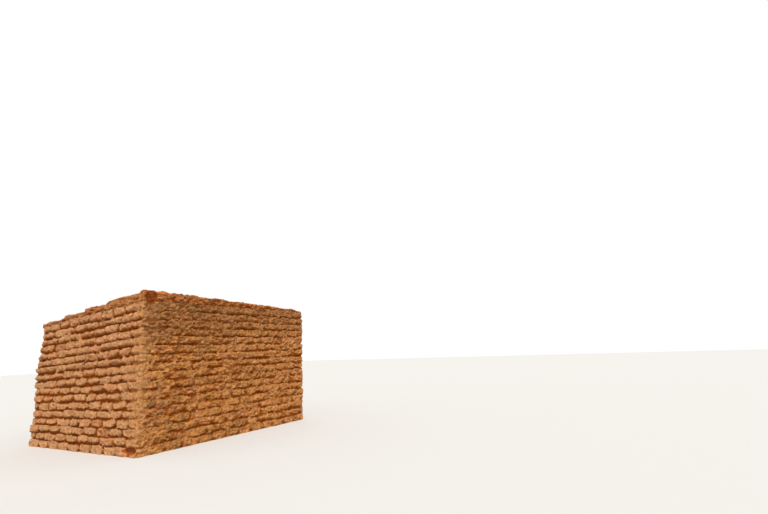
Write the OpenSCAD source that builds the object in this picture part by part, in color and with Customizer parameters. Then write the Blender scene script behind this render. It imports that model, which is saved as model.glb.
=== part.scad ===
/* [House] */
// Length of the long walls, measured outside
house_length = 4300; // [3600:50:5200]
// Depth of the house from front to back, measured outside
house_depth = 3200; // [2800:50:4000]
// Thickness of every wall
wall_thickness = 220; // [180:5:260]
// Radius that rain has worn on the four outer corners
corner_radius = 60; // [30:5:100]

/* [Brick courses] */
// Number of mud brick courses from the ground to the coping
courses = 17; // [16:1:19]
// Height of the bricks at the front, from the ground to the coping
wall_height = 2516; // [2312:4:2720]
// Height that the brick top loses from the front to the back
roof_fall = 296; // [200:4:380]
// Height of the narrow floor of each weathered bed joint
joint_gap = 14; // [8:1:24]
// Height over which a brick edge rounds into its joint
joint_slope = 24; // [14:1:32]
// Depth of each weathered bed joint
joint_depth = 24; // [12:1:26]

/* [Coping] */
// Height of the front coping at the near corner, where it stands proud
coping_near = 170; // [110:5:220]
// Height of the front coping at its far end
coping_far = 56; // [44:2:90]
// Height of the back coping
coping_back = 70; // [44:2:90]
// Height of a gable coping where its highest bay starts
coping_high = 150; // [100:2:180]
// Height of a gable coping where its lowest bay starts
coping_low = 60; // [40:2:80]
// Height that each bay gains over the falling bricks, before it steps down
coping_gain = 16; // [0:2:30]
// Length of the highest bay of a gable coping
first_bay = 840; // [600:20:1000]
// Number of the bays below it
lower_bays = 3; // [2:1:4]
// Distance that a coping stands back from each wall face
coping_setback = 5; // [2:1:14]
// Length of the front coping that is lost at its far end
coping_loss = 60; // [30:5:120]
// Radius of the long top edges of a coping
coping_radius = 26; // [12:2:36]

/* [Roof] */
// Height of the brick top above the pole deck
deck_drop = 344; // [320:2:380]
// Number of roof beams between the gables
beam_count = 6; // [4:1:6]
// Distance from a gable to the first beam's centre
beam_margin = 300; // [200:10:400]
// Diameter of a beam at its thick end
beam_butt = 108; // [90:2:124]
// Diameter of a beam at its thin end
beam_tip = 94; // [80:2:108]
// Length of each beam end that lies in the wall
beam_bearing = 140; // [100:5:160]
// Diameter of the thickest deck pole
pole_diameter = 48; // [36:2:60]
// Distance between the centres of neighbouring poles
pole_pitch = 92; // [74:2:120]
// Length of each pole end that lies on the gable
pole_bearing = 110; // [60:5:130]
// Thickness of the reed mat on the poles
mat_thickness = 15; // [8:1:25]
// Thickness of the beaten earth on the mat
earth_thickness = 110; // [90:2:130]
// Height and width of the earth fillets along the parapets
fillet_size = 55; // [20:5:80]

/* [Drain spouts] */
// Reach of a spout beyond the back wall
spout_reach = 350; // [200:10:450]
// Diameter of the log that a spout is cut from
spout_diameter = 140; // [110:2:150]
// Width of the trough cut along a spout
trough_width = 88; // [60:2:100]
// Slope of a spout, in degrees below level
spout_tilt = 6; // [2:1:10]
// Distance between the two spouts
spout_spacing = 2300; // [1600:50:2800]
// Length of a spout that lies in the roof earth
spout_bedding = 60; // [30:5:100]
// Depth of the trough's floor below the roof earth at the wall
spout_sink = 4; // [0:1:10]

/* [Doorway] */
// Clear width of the doorway in the back wall
door_width = 760; // [640:10:900]
// Number of brick courses beside the doorway, up to the lintel
door_courses = 12; // [11:1:12]
// Place of the doorway's centre along the back wall
door_centre = 350; // [-700:50:700]
// Diameter of each lintel log
lintel_diameter = 64; // [54:1:70]
// Length of each lintel end that lies in the wall
lintel_bearing = 200; // [140:10:260]
// Gap between neighbouring lintel logs
lintel_gap = 4; // [2:1:8]

/* [Weathering] */
// Thickness of the mud smeared over the brick ends at the near corner
render_thickness = 28; // [26:1:36]
// Height of the lower edge of that mud
render_foot = 230; // [150:10:400]
// Radius of the broken hollow at the top of the near corner
chip_radius = 160; // [120:10:200]
// Depth of that hollow in the front face
chip_depth = 64; // [30:2:80]
// Distance of its middle from the near corner
chip_offset = 130; // [110:5:200]
// Height of its middle above the brick top
chip_rise = 60; // [40:5:90]
// Radius of the washed-out hollow at the foot of the near corner
wash_radius = 150; // [100:10:200]
// Depth of that hollow in the gable face
wash_depth = 48; // [20:2:70]
// Height of its middle above the ground
wash_height = 125; // [100:5:180]
// Radius that rain has worn on the upper part of the back left corner
worn_radius = 300; // [200:10:340]
// Distance by which that rounding cuts past both faces
worn_overcut = 10; // [6:1:20]
// Course from which the corner is worn that far
worn_course = 12; // [10:1:14]

/* [Hidden] */
$fn = 48;

// Clearance round each log end that is bedded in mud
bed = 0.3;
// A length that passes any face of the house
far = 6000;

mud = [0.78, 0.52, 0.31];
fresh_mud = [0.62, 0.34, 0.17];
smooth_mud = [0.83, 0.60, 0.40];
timber = [0.45, 0.36, 0.28];
reed = [0.72, 0.62, 0.40];
earth = [0.70, 0.50, 0.34];

x_left = -house_length / 2;
x_right = house_length / 2;
x_in_left = x_left + wall_thickness;
x_in_right = x_right - wall_thickness;
room_length = x_in_right - x_in_left;

y_front = -(house_depth + spout_reach) / 2;
y_back = y_front + house_depth;
y_in_front = y_front + wall_thickness;
y_in_back = y_back - wall_thickness;
room_depth = y_in_back - y_in_front;

front_top = wall_height;
course_height = front_top / courses;
back_top = front_top - roof_fall;
back_course = back_top / courses;
highest = front_top + coping_near;
fall_angle = atan(roof_fall / house_depth);

deck_at_front = front_top - deck_drop;
seat_course = courses - 3;
front_seat = seat_course * course_height;

door_left = door_centre - door_width / 2;
door_right = door_centre + door_width / 2;
door_top = door_courses * back_course;
lintel_top = door_top + lintel_diameter;

roof_low = pole_diameter + mat_thickness;
roof_high = roof_low + earth_thickness;

// Height of a bed joint at a place along the depth of the house
function joint_at(k, y) = k * (course_height - (course_height - back_course) * (y - y_front) / house_depth);
// Height of the pole deck at a place along the depth of the house
function deck_at(y) = deck_at_front - (y - y_front) * tan(fall_angle);

// Sweeps a Y-Z outline along X
module along_x(from, to) {
    translate([from, 0, 0])
        rotate([90, 0, 90])
            linear_extrude(to - from) children();
}

// Sweeps an X-Z outline along Y
module along_y(from, to) {
    translate([0, from, 0])
        mirror([0, 1, 0])
            rotate([90, 0, 0])
                linear_extrude(to - from) children();
}

// The whole footprint with its worn corners, between two heights
module block(low, high) {
    r = corner_radius;
    translate([0, 0, low])
        linear_extrude(high - low) {
            translate([x_left + r, y_front]) square([house_length - 2 * r, house_depth]);
            translate([x_left, y_front + r]) square([house_length, house_depth - 2 * r]);
            for (x = [x_left + r, x_right - r], y = [y_front + r, y_back - r])
                translate([x, y]) circle(r);
        }
}

// Outline of one weathered bed joint: x goes into the wall, y is up
module joint_outline() {
    floor_half = joint_gap / 2;
    mouth_half = floor_half + joint_slope;
    polygon([
        [-joint_depth, -mouth_half], [0, -mouth_half],
        [joint_depth, -floor_half], [joint_depth, floor_half],
        [0, mouth_half], [-joint_depth, mouth_half]
    ]);
}

// Level bed joints in the front face (side -1) or the back face (side 1)
module long_joints(side, first, last) {
    course = side < 0 ? course_height : back_course;
    outer = side < 0 ? y_front : y_back;
    for (k = [first : last])
        along_x(-far / 2, far / 2)
            translate([outer, k * course])
                mirror([side < 0 ? 0 : 1, 0]) joint_outline();
}

// Bed joints in a gable face, falling from the front courses to the back courses
module gable_joints(side, first, last) {
    outer = side < 0 ? x_left : x_right;
    for (k = [first : last])
        translate([outer, y_front, joint_at(k, y_front)])
            rotate([-atan(k * (course_height - back_course) / house_depth), 0, 0])
                along_y(-far / 2, far)
                    mirror([side < 0 ? 0 : 1, 0]) joint_outline();
}

// A front or back wall with its coursed faces, between two courses
module long_wall(side, low, high) {
    course = side < 0 ? course_height : back_course;
    first = max(low, 1);
    difference() {
        intersection() {
            block(low * course, high * course);
            translate([x_left, side < 0 ? y_front : y_in_back, 0])
                cube([house_length, wall_thickness, highest]);
        }
        long_joints(side, first, high);
        gable_joints(-1, first, high);
        gable_joints(1, first, high);
    }
}

// A whole gable between the long walls, up to the sloping brick top
module gable(side, first, last) {
    difference() {
        translate([side < 0 ? x_left : x_in_right, 0, 0])
            along_x(0, wall_thickness)
                polygon([
                    [y_in_front, 0], [y_in_back, 0],
                    [y_in_back, joint_at(courses, y_in_back)],
                    [y_in_front, joint_at(courses, y_in_front)]
                ]);
        gable_joints(side, first, last);
    }
}

// Places children in the slope of the deck: y runs down it, z = 0 is the beam tops
module deck_frame() {
    translate([0, y_front, deck_at_front])
        rotate([-fall_angle, 0, 0]) children();
}

// Everything between two heights above the deck
module above_deck(low, high) {
    deck_frame()
        translate([-far / 2, -far / 4, low]) cube([far, far, high - low]);
}

// The room's plan as a tall prism
module room_prism() {
    translate([x_in_left, y_in_front, 0])
        cube([room_length, room_depth, highest]);
}

// A tapering log along +Y whose top line is level at z = 0
module log(length, butt, tip, grow = 0) {
    turn = atan((butt - tip) / 2 / length);
    rotate([turn, 0, 0])
        translate([0, 0, -butt / 2 / cos(turn)])
            rotate([-90, 0, 0])
                cylinder(h = length / cos(turn), d1 = butt + 2 * grow, d2 = tip + 2 * grow);
}

// One roof beam in its place, laid down the slope of the deck
module beam(i, grow = 0) {
    start = (wall_thickness - beam_bearing - grow) / cos(fall_angle);
    length = (room_depth + 2 * (beam_bearing + grow)) / cos(fall_angle);
    spacing = (room_length - 2 * beam_margin) / (beam_count - 1);
    deck_frame()
        translate([x_in_left + beam_margin + i * spacing, start, 0])
            log(length, beam_butt, beam_tip, grow);
}

module beam_beds() {
    for (i = [0 : beam_count - 1]) beam(i, bed);
}

module roof_beam(i) {
    if (i < beam_count) color(timber) beam(i);
}

// Level of a spout's flat top where it leaves the roof earth
function spout_level() =
    deck_at(y_in_back) + roof_high / cos(fall_angle) + trough_width / 2 - spout_sink;

// Places children at a spout's inner end, with z along the spout and -y up
module spout_frame(side) {
    translate([side * spout_spacing / 2, y_in_back, spout_level()])
        rotate([-90 - spout_tilt, 0, 0])
            translate([0, 0, -spout_bedding]) children();
}

module spout_beds() {
    for (side = [-1, 1])
        spout_frame(side)
            translate([0, 0, -bed]) cylinder(h = far / 4, d = spout_diameter + 2 * bed);
}

module drain_spout(side) {
    length = spout_bedding + (wall_thickness + spout_reach) / cos(spout_tilt);
    color(timber)
        spout_frame(side)
            linear_extrude(length)
                difference() {
                    circle(d = spout_diameter);
                    circle(d = trough_width);
                    translate([-spout_diameter, -spout_diameter])
                        square([2 * spout_diameter, spout_diameter]);
                }
}

// One lintel log; the row of logs starts at the room face of the wall
module lintel(i, grow = 0) {
    y = y_in_back + lintel_gap + lintel_diameter / 2 + i * (lintel_diameter + lintel_gap);
    translate([door_left - lintel_bearing - grow, y, door_top + lintel_diameter / 2])
        rotate([0, 90, 0])
            cylinder(h = door_width + 2 * (lintel_bearing + grow), d = lintel_diameter + 2 * grow);
}

module lintel_log(i) {
    color(timber) lintel(i);
}

// Space of the wall piece that rests on the lintel logs
module over_door_space() {
    translate([door_left - lintel_bearing, y_front, lintel_top])
        cube([door_width + 2 * lintel_bearing, house_depth, highest]);
}

// Space of the mud smeared over the front wall's end at the near corner
module render_space() {
    translate([x_left, y_front, render_foot])
        cube([render_thickness, wall_thickness, front_seat - render_foot]);
}

// Hollow broken out of the wall's top beside the near corner
module broken_corner() {
    translate([
        x_left + chip_offset,
        y_front + chip_depth - chip_radius,
        front_top + chip_rise
    ]) sphere(chip_radius);
}

// What rain has taken off the upper part of the back left corner
module worn_corner() {
    centre = worn_radius - worn_overcut;
    difference() {
        translate([x_left - centre, y_back - centre, worn_course * back_course])
            cube([2 * centre, 2 * centre, highest]);
        translate([x_left + centre, y_back - centre, 0])
            cylinder(h = 2 * highest, r = worn_radius);
    }
}

// Hollow washed out of the foot of the near corner
module washed_foot() {
    translate([
        x_left + wash_depth - wash_radius,
        y_front + wall_thickness / 2,
        wash_height
    ]) sphere(wash_radius);
}

module front_wall() {
    color(mud) difference() {
        long_wall(-1, 0, seat_course);
        beam_beds();
        render_space();
        washed_foot();
    }
}

module corner_render() {
    color(smooth_mud) intersection() {
        block(0, front_seat);
        render_space();
    }
}

module gable_wall(side) {
    color(mud) difference() {
        gable(side, 1, seat_course + 1);
        above_deck(0, far);
    }
}

module gable_parapet(side) {
    inner = side < 0 ? x_in_left : x_in_right;
    slot = pole_bearing + bed;
    color(mud) difference() {
        intersection() {
            gable(side, seat_course, courses);
            above_deck(0, far);
        }
        deck_frame()
            translate([inner - slot, -far / 4, -far])
                cube([2 * slot, far, far + pole_diameter + bed]);
    }
}

module back_wall_part(from, to) {
    color(mud) difference() {
        intersection() {
            long_wall(1, 0, seat_course);
            translate([from, y_front, 0]) cube([to - from, house_depth, front_top]);
        }
        over_door_space();
        for (i = [0 : 2]) lintel(i, bed);
        beam_beds();
        worn_corner();
    }
}

module wall_over_door() {
    color(mud) difference() {
        intersection() {
            long_wall(1, 0, seat_course);
            over_door_space();
        }
        beam_beds();
    }
}

module front_parapet() {
    color(mud) difference() {
        long_wall(-1, seat_course, courses);
        beam_beds();
        broken_corner();
    }
}

module back_parapet() {
    color(mud) difference() {
        long_wall(1, seat_course, courses);
        beam_beds();
        spout_beds();
        worn_corner();
    }
}

// Cross-section of a coping, with its long top edges rounded
module coping_outline(from, to, height) {
    r = coping_radius;
    translate([from, -highest]) square([to - from, highest + height - r]);
    translate([from + r, -highest]) square([to - from - 2 * r, highest + height]);
    for (x = [from + r, to - r]) translate([x, height - r]) circle(r);
}

// Front coping, highest at the near corner
module front_coping() {
    inset = joint_depth + coping_setback;
    angle = atan((coping_near - coping_far) / house_length);
    color(fresh_mud) difference() {
        intersection() {
            translate([x_left, 0, front_top])
                rotate([0, angle, 0])
                    along_x(-far / 2, far)
                        coping_outline(y_front + inset, y_in_front - coping_setback, coping_near);
            translate([x_left + inset, y_front, front_top])
                cube([house_length - 2 * inset - coping_loss, house_depth, far]);
        }
        broken_corner();
    }
}

module back_coping() {
    inset = joint_depth + coping_setback;
    color(fresh_mud) difference() {
        intersection() {
            translate([0, 0, back_top])
                along_x(x_left + inset, x_right - inset)
                    coping_outline(y_in_back + coping_setback, y_back - inset, coping_back);
            translate([x_left, y_front, back_top]) cube([house_length, house_depth, far]);
        }
        worn_corner();
    }
}

// Start of one bay of a gable coping, along the depth of the house
function bay_start(i) =
    y_in_front + (i == 0 ? 0 : first_bay + (i - 1) * (room_depth - first_bay) / lower_bays);

// Coping that steps down a gable in bays, between the front and the back coping
module gable_coping(side) {
    inset = joint_depth + coping_setback;
    from = side < 0 ? x_left + inset : x_in_right + coping_setback;
    to = side < 0 ? x_in_left - coping_setback : x_right - inset;
    color(fresh_mud) difference() {
        for (i = [0 : lower_bays]) {
            start = bay_start(i);
            length = bay_start(i + 1) - start;
            height = coping_high - i * (coping_high - coping_low) / lower_bays;
            intersection() {
                translate([0, start, joint_at(courses, start) + height])
                    rotate([-atan(tan(fall_angle) - coping_gain / length), 0, 0])
                        along_y(-far / 2, far) coping_outline(from, to, 0);
                translate([from, y_in_front, 0])
                    cube([to - from, start + length - y_in_front, highest]);
            }
        }
        translate([x_left, y_front, 0])
            along_x(0, house_length)
                polygon([
                    [-far, 0], [far, 0],
                    [far, joint_at(courses, y_front + far)],
                    [-far, joint_at(courses, y_front - far)]
                ]);
    }
}

module roof_poles() {
    slope_length = room_depth / cos(fall_angle);
    count = floor((slope_length - pole_diameter) / pole_pitch);
    first = wall_thickness / cos(fall_angle) + (slope_length - (count - 1) * pole_pitch) / 2;
    color(timber) deck_frame()
        for (i = [0 : count - 1])
            translate([x_in_left - pole_bearing, first + i * pole_pitch, pole_diameter / 2])
                rotate([0, 90, 0])
                    cylinder(h = room_length + 2 * pole_bearing, d = pole_diameter, $fn = 24);
}

module reed_mat() {
    color(reed) intersection() {
        above_deck(pole_diameter, roof_low);
        room_prism();
    }
}

module earth_roof() {
    color(earth) difference() {
        intersection() {
            above_deck(roof_low, roof_high);
            room_prism();
        }
        spout_beds();
        for (side = [-1, 1])
            spout_frame(side)
                translate([0, 0, -far / 16]) cylinder(h = far / 16, d = trough_width);
    }
}

// Earth fillet against the front parapet
module front_fillet() {
    edge = wall_thickness / cos(fall_angle);
    color(earth) intersection() {
        deck_frame()
            along_x(-far / 2, far / 2)
                polygon([
                    [edge - fillet_size, roof_high], [edge + fillet_size, roof_high],
                    [edge, roof_high + fillet_size], [edge - fillet_size, roof_high + fillet_size]
                ]);
        room_prism();
    }
}

// Earth fillet against a gable parapet, from the front fillet to the back
module gable_fillet(side) {
    start = wall_thickness / cos(fall_angle) + fillet_size;
    color(earth) intersection() {
        deck_frame()
            along_y(start, far)
                polygon([
                    [side * room_length / 2, roof_high],
                    [side * room_length / 2, roof_high + fillet_size],
                    [side * (room_length / 2 - fillet_size), roof_high]
                ]);
        room_prism();
    }
}

front_wall();
gable_wall(-1);  // left_gable_wall
gable_wall(1);  // right_gable_wall
back_wall_part(x_left, door_left);  // back_wall_left
back_wall_part(door_right, x_right);  // back_wall_right
wall_over_door();
front_parapet();
gable_parapet(-1);  // left_parapet
gable_parapet(1);  // right_parapet
back_parapet();
front_coping();
gable_coping(-1);  // left_coping
gable_coping(1);  // right_coping
back_coping();
corner_render();
lintel_log(0);  // lintel_log_1
lintel_log(1);  // lintel_log_2
lintel_log(2);  // lintel_log_3
roof_beam(0);  // roof_beam_1
roof_beam(1);  // roof_beam_2
roof_beam(2);  // roof_beam_3
roof_beam(3);  // roof_beam_4
roof_beam(4);  // roof_beam_5
roof_beam(5);  // roof_beam_6
roof_poles();
reed_mat();
earth_roof();
front_fillet();
gable_fillet(-1);  // left_fillet
gable_fillet(1);  // right_fillet
drain_spout(-1);  // drain_spout_left
drain_spout(1);  // drain_spout_right
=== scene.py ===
"""Looks of a small adobe house: rain-worn mud bricks, mud copings, an earth roof and its timbers.

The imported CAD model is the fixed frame. Each class dresses one sub-assembly of it, in metres, with
+X along the long walls, +Y from the front wall to the back wall and +Z up.
"""

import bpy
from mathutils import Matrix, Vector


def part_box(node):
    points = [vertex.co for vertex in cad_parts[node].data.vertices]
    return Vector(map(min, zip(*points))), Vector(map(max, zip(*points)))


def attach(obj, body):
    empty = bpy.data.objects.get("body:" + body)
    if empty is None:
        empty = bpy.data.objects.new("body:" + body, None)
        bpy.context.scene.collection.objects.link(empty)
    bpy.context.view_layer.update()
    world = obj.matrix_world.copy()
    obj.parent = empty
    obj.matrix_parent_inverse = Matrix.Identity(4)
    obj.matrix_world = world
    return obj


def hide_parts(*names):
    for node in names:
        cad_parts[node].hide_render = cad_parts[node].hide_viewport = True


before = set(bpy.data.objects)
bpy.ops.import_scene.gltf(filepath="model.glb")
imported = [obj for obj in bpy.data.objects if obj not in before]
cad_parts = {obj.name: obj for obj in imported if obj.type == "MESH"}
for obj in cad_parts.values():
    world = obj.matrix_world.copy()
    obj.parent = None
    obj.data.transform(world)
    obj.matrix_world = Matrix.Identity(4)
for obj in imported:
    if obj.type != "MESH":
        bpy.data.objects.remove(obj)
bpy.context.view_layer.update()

import logging
import math
from dataclasses import dataclass, field
from enum import Enum
from functools import cached_property
from typing import Sequence

import bmesh
import bpy
import numpy as np
from bpy.types import Material, NodeSocket, NodeTree, Object
from mathutils import Matrix, Vector
from numpy import ndarray

LOG = logging.getLogger("adobe_house")
BODY = "root"
SEED = 731

# Socket numbers of the Mix node when it mixes colours
MIX_A, MIX_B, MIX_OUT = 6, 7, 2

# Values that the mud pieces keep at their points for their finish
MARKS = ("tone", "joint", "worn", "fresh", "plaster", "stain")


# Noise


class MudNoise:
    """Smooth seeded noise in space, worked out for a whole array of points at once."""

    def __init__(self, seed: int) -> None:
        """Shuffles the lattice.

        Args:
            seed: Number that fixes the pattern.
        """
        rng = np.random.default_rng(seed)
        self._order = np.tile(rng.permutation(256), 2)
        slopes = rng.normal(size=(256, 3))
        self._slopes = slopes / np.linalg.norm(slopes, axis=1, keepdims=True)

    def at(self, points: ndarray, grain: float | Sequence[float]) -> ndarray:
        """Works out one layer of noise.

        Args:
            points: Places in metres, with x, y and z in the last axis.
            grain: Size of one swell in metres, alike in all directions or one for each axis.

        Returns:
            Values from about -1 to 1, one for each point.
        """
        scaled = points / np.asarray(grain, float)
        cell = np.floor(scaled).astype(int)
        part = scaled - cell
        ease = part * part * part * (part * (part * 6.0 - 15.0) + 10.0)
        total = np.zeros(points.shape[:-1])
        for corner in np.ndindex(2, 2, 2):
            near = (cell + corner) & 255
            pick = self._order[self._order[near[..., 0]] + near[..., 1]]
            slope = self._slopes[self._order[pick + near[..., 2]]]
            weight = np.prod(np.where(corner, ease, 1.0 - ease), axis=-1)
            total += weight * np.sum((part - corner) * slope, axis=-1)
        return total * 1.7

    def layered(self, points: ndarray, grain: float | Sequence[float], layers: int = 3) -> ndarray:
        """Adds up layers of noise, each half as large and a little over half as strong.

        Args:
            points: Places in metres, with x, y and z in the last axis.
            grain: Size of the largest swells in metres.
            layers: Number of layers.

        Returns:
            Values from about -1 to 1, one for each point.
        """
        total = np.zeros(points.shape[:-1])
        strength, whole = 1.0, 0.0
        for layer in range(layers):
            shifted = points + 7.3 * layer
            total += strength * self.at(shifted, np.asarray(grain, float) / 2.0**layer)
            whole += strength
            strength *= 0.55
        return total / whole * 1.3


def smooth_step(value: ndarray, low: float, high: float) -> ndarray:
    """Rises smoothly from 0 at low to 1 at high."""
    part = np.clip((value - low) / (high - low), 0.0, 1.0)
    return part * part * (3.0 - 2.0 * part)


# Sizes of the frame


class Face(Enum):
    """Outer faces, in the order in which a walk round the house meets them."""

    FRONT = 0
    RIGHT = 1
    BACK = 2
    LEFT = 3


@dataclass(frozen=True)
class HouseSize:
    """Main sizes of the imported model, read from its nodes."""

    left: float
    right: float
    front: float
    back: float
    wall: float
    front_top: float
    back_top: float
    door_left: float
    door_right: float
    door_top: float
    courses: int = 17
    seat_course: int = 14
    door_courses: int = 12
    corner: float = 0.06
    deck_drop: float = 0.344
    lintel_bearing: float = 0.20
    pole: float = 0.048
    mat: float = 0.015
    earth: float = 0.110

    @classmethod
    def from_frame(cls) -> "HouseSize":
        """Reads the sizes from the CAD nodes' boxes.

        Returns:
            The sizes.
        """
        low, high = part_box("front_wall")
        lintel_low, lintel_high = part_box("lintel_log_1")
        _, back_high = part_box("back_parapet")
        return cls(
            left=low.x,
            right=high.x,
            front=low.y,
            back=back_high.y,
            wall=high.y - low.y,
            front_top=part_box("front_parapet")[1].z,
            back_top=back_high.z,
            door_left=lintel_low.x + cls.lintel_bearing,
            door_right=lintel_high.x - cls.lintel_bearing,
            door_top=lintel_low.z,
        )

    @property
    def length(self) -> float:
        """Length of the long walls."""
        return self.right - self.left

    @property
    def depth(self) -> float:
        """Depth of the house."""
        return self.back - self.front

    @property
    def in_left(self) -> float:
        """Room face of the left gable."""
        return self.left + self.wall

    @property
    def in_right(self) -> float:
        """Room face of the right gable."""
        return self.right - self.wall

    @property
    def in_front(self) -> float:
        """Room face of the front wall."""
        return self.front + self.wall

    @property
    def in_back(self) -> float:
        """Room face of the back wall."""
        return self.back - self.wall

    @property
    def fall(self) -> float:
        """Slope of the brick top and of the roof, as a share of the run."""
        return (self.front_top - self.back_top) / self.depth

    @property
    def slope(self) -> float:
        """Length down the slope for each metre of depth."""
        return math.hypot(1.0, self.fall)

    @property
    def roof_height(self) -> float:
        """Height of the roof earth above the beams, square to the slope."""
        return self.pole + self.mat + self.earth

    @property
    def girth(self) -> float:
        """Length of a walk round the house."""
        return 2.0 * (self.length + self.depth)

    def corners(self, inset: float) -> list[tuple[float, float]]:
        """Gives the corners of the house, or of its room, where the faces start.

        Args:
            inset: Distance inwards from the outer faces.

        Returns:
            The four places, in the order of the faces.
        """
        left, right = self.left + inset, self.right - inset
        front, back = self.front + inset, self.back - inset
        return [(left, front), (right, front), (right, back), (left, back)]

    def start_of(self, face: Face) -> float:
        """Distance walked from the near corner to the start of a face."""
        runs = (0.0, self.length, self.length + self.depth, 2.0 * self.length + self.depth)
        return runs[face.value]

    def length_of(self, face: Face) -> float:
        """Length of a face."""
        return self.length if face in (Face.FRONT, Face.BACK) else self.depth

    def course_at(self, y: ndarray) -> ndarray:
        """Height of one course at places along the depth of the house."""
        return (self.front_top - self.fall * (y - self.front)) / self.courses

    def deck_at(self, y: float | ndarray) -> float | ndarray:
        """Height of the tops of the beams at places along the depth of the house."""
        return self.front_top - self.deck_drop - self.fall * (y - self.front)

    def deck_point(self, x: float, along: float, above: float) -> Vector:
        """Gives a point in the slope of the roof deck.

        Args:
            x: Place along the house.
            along: Distance down the slope from the front face.
            above: Distance above the tops of the beams, square to the slope.

        Returns:
            The point in the row frame.
        """
        turn = math.atan(self.fall)
        return Vector((
            x,
            self.front + along * math.cos(turn) + above * math.sin(turn),
            self.front_top - self.deck_drop - along * math.sin(turn) + above * math.cos(turn),
        ))


# Plans: the upright lines that a wall piece is made of


@dataclass
class Plan:
    """Upright lines round a wall piece, seen from above and walked with the mud on the left."""

    x: ndarray
    y: ndarray
    out_x: ndarray
    out_y: ndarray
    walk: ndarray
    coursed: ndarray
    upright: ndarray

    @property
    def out(self) -> ndarray:
        """Outward directions of the lines, of shape (lines, 2)."""
        return np.stack([self.out_x, self.out_y], axis=1)

    def __add__(self, other: "Plan") -> "Plan":
        """Joins two plans one after the other."""
        names = self.__dataclass_fields__
        return Plan(*(np.concatenate([getattr(self, n), getattr(other, n)]) for n in names))

    @classmethod
    def outside(cls, size: HouseSize, start: float, end: float, step: float) -> "Plan":
        """Lines on the outer faces, between two distances of the walk round the house.

        Args:
            size: Sizes of the house.
            start: Distance walked at the first line.
            end: Distance walked at the last line.
            step: Greatest distance between two lines.

        Returns:
            The plan of that stretch, with the worn corners that it passes.
        """
        walk = np.linspace(start, end, max(2, math.ceil((end - start) / step) + 1))
        run = np.mod(walk, size.girth)
        corners = np.array(size.corners(0.0))
        along = np.array([(1.0, 0.0), (0.0, 1.0), (-1.0, 0.0), (0.0, -1.0)])
        starts = np.array([size.start_of(face) for face in Face])
        lengths = np.array([size.length_of(face) for face in Face])
        face = np.searchsorted(starts, run, side="right") - 1
        part, whole = run - starts[face], lengths[face]
        ahead = along[face]
        out = np.stack([ahead[:, 1], -ahead[:, 0]], axis=1)
        radius = size.corner
        turn = np.zeros_like(part)
        begin, finish = part < radius, part > whole - radius
        turn[begin] = -(1.0 - part[begin] / radius) * math.pi / 4.0
        turn[finish] = (1.0 - (whole[finish] - part[finish]) / radius) * math.pi / 4.0
        facing = np.cos(turn)[:, None] * out + np.sin(turn)[:, None] * ahead
        place = corners[face] + ahead * part[:, None]
        middle = corners[face] + ahead * np.where(begin, radius, whole - radius)[:, None]
        place = np.where((begin | finish)[:, None], middle - out * radius + facing * radius, place)
        ones = np.ones_like(part)
        return cls(*place.T, *facing.T, walk, ones, ones)

    @classmethod
    def straight(
        cls,
        points: Sequence[tuple[float, float]],
        step: float,
        radius: float,
        walk: float,
        coursed: float,
    ) -> "Plan":
        """Lines along straight stretches with rounded corners, such as a jamb and a room face.

        Args:
            points: Corners of the stretches, in the order of the walk.
            step: Greatest distance between two lines.
            radius: Rounding of the corners between the stretches.
            walk: Place on the outer walk whose bricks these lines belong to.
            coursed: 1 where the bed joints show, 0 under plaster.

        Returns:
            The plan of those stretches.
        """
        rows: list[tuple[float, float, float, float]] = []
        spots = [Vector(point) for point in points]
        for index in range(len(spots) - 1):
            ahead = (spots[index + 1] - spots[index]).normalized()
            side = Vector((ahead.y, -ahead.x))
            first = spots[index] + ahead * (radius if index else 0.0)
            last = spots[index + 1] - ahead * (radius if index < len(spots) - 2 else 0.0)
            count = max(1, math.ceil((last - first).length / step))
            for i in range(count + 1):
                place = first.lerp(last, i / count)
                rows.append((place.x, place.y, side.x, side.y))
            if index < len(spots) - 2:
                onward = (spots[index + 2] - spots[index + 1]).normalized()
                next_side = Vector((onward.y, -onward.x))
                convex = 1.0 if ahead.cross(onward) > 0 else -1.0
                middle = last - side * radius * convex
                for part in (0.25, 0.5, 0.75):
                    facing = side.lerp(next_side, part).normalized()
                    place = middle + facing * radius * convex
                    rows.append((place.x, place.y, facing.x, facing.y))
        table = np.array(rows).T
        ones = np.ones(table.shape[1])
        return cls(*table, ones * walk, ones * coursed, ones * 0.0)


# Meshes from bmesh operators


def closed_round(values: ndarray) -> list:
    """Repeats the first column of a grid after its last one.

    Args:
        values: Numbers or vectors of shape (rows, columns) or (rows, columns, 3).

    Returns:
        The values of the widened grid, row by row.
    """
    widened = np.concatenate([values, values[:, :1]], axis=1)
    return widened.reshape(-1, *values.shape[2:]).tolist()


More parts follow.
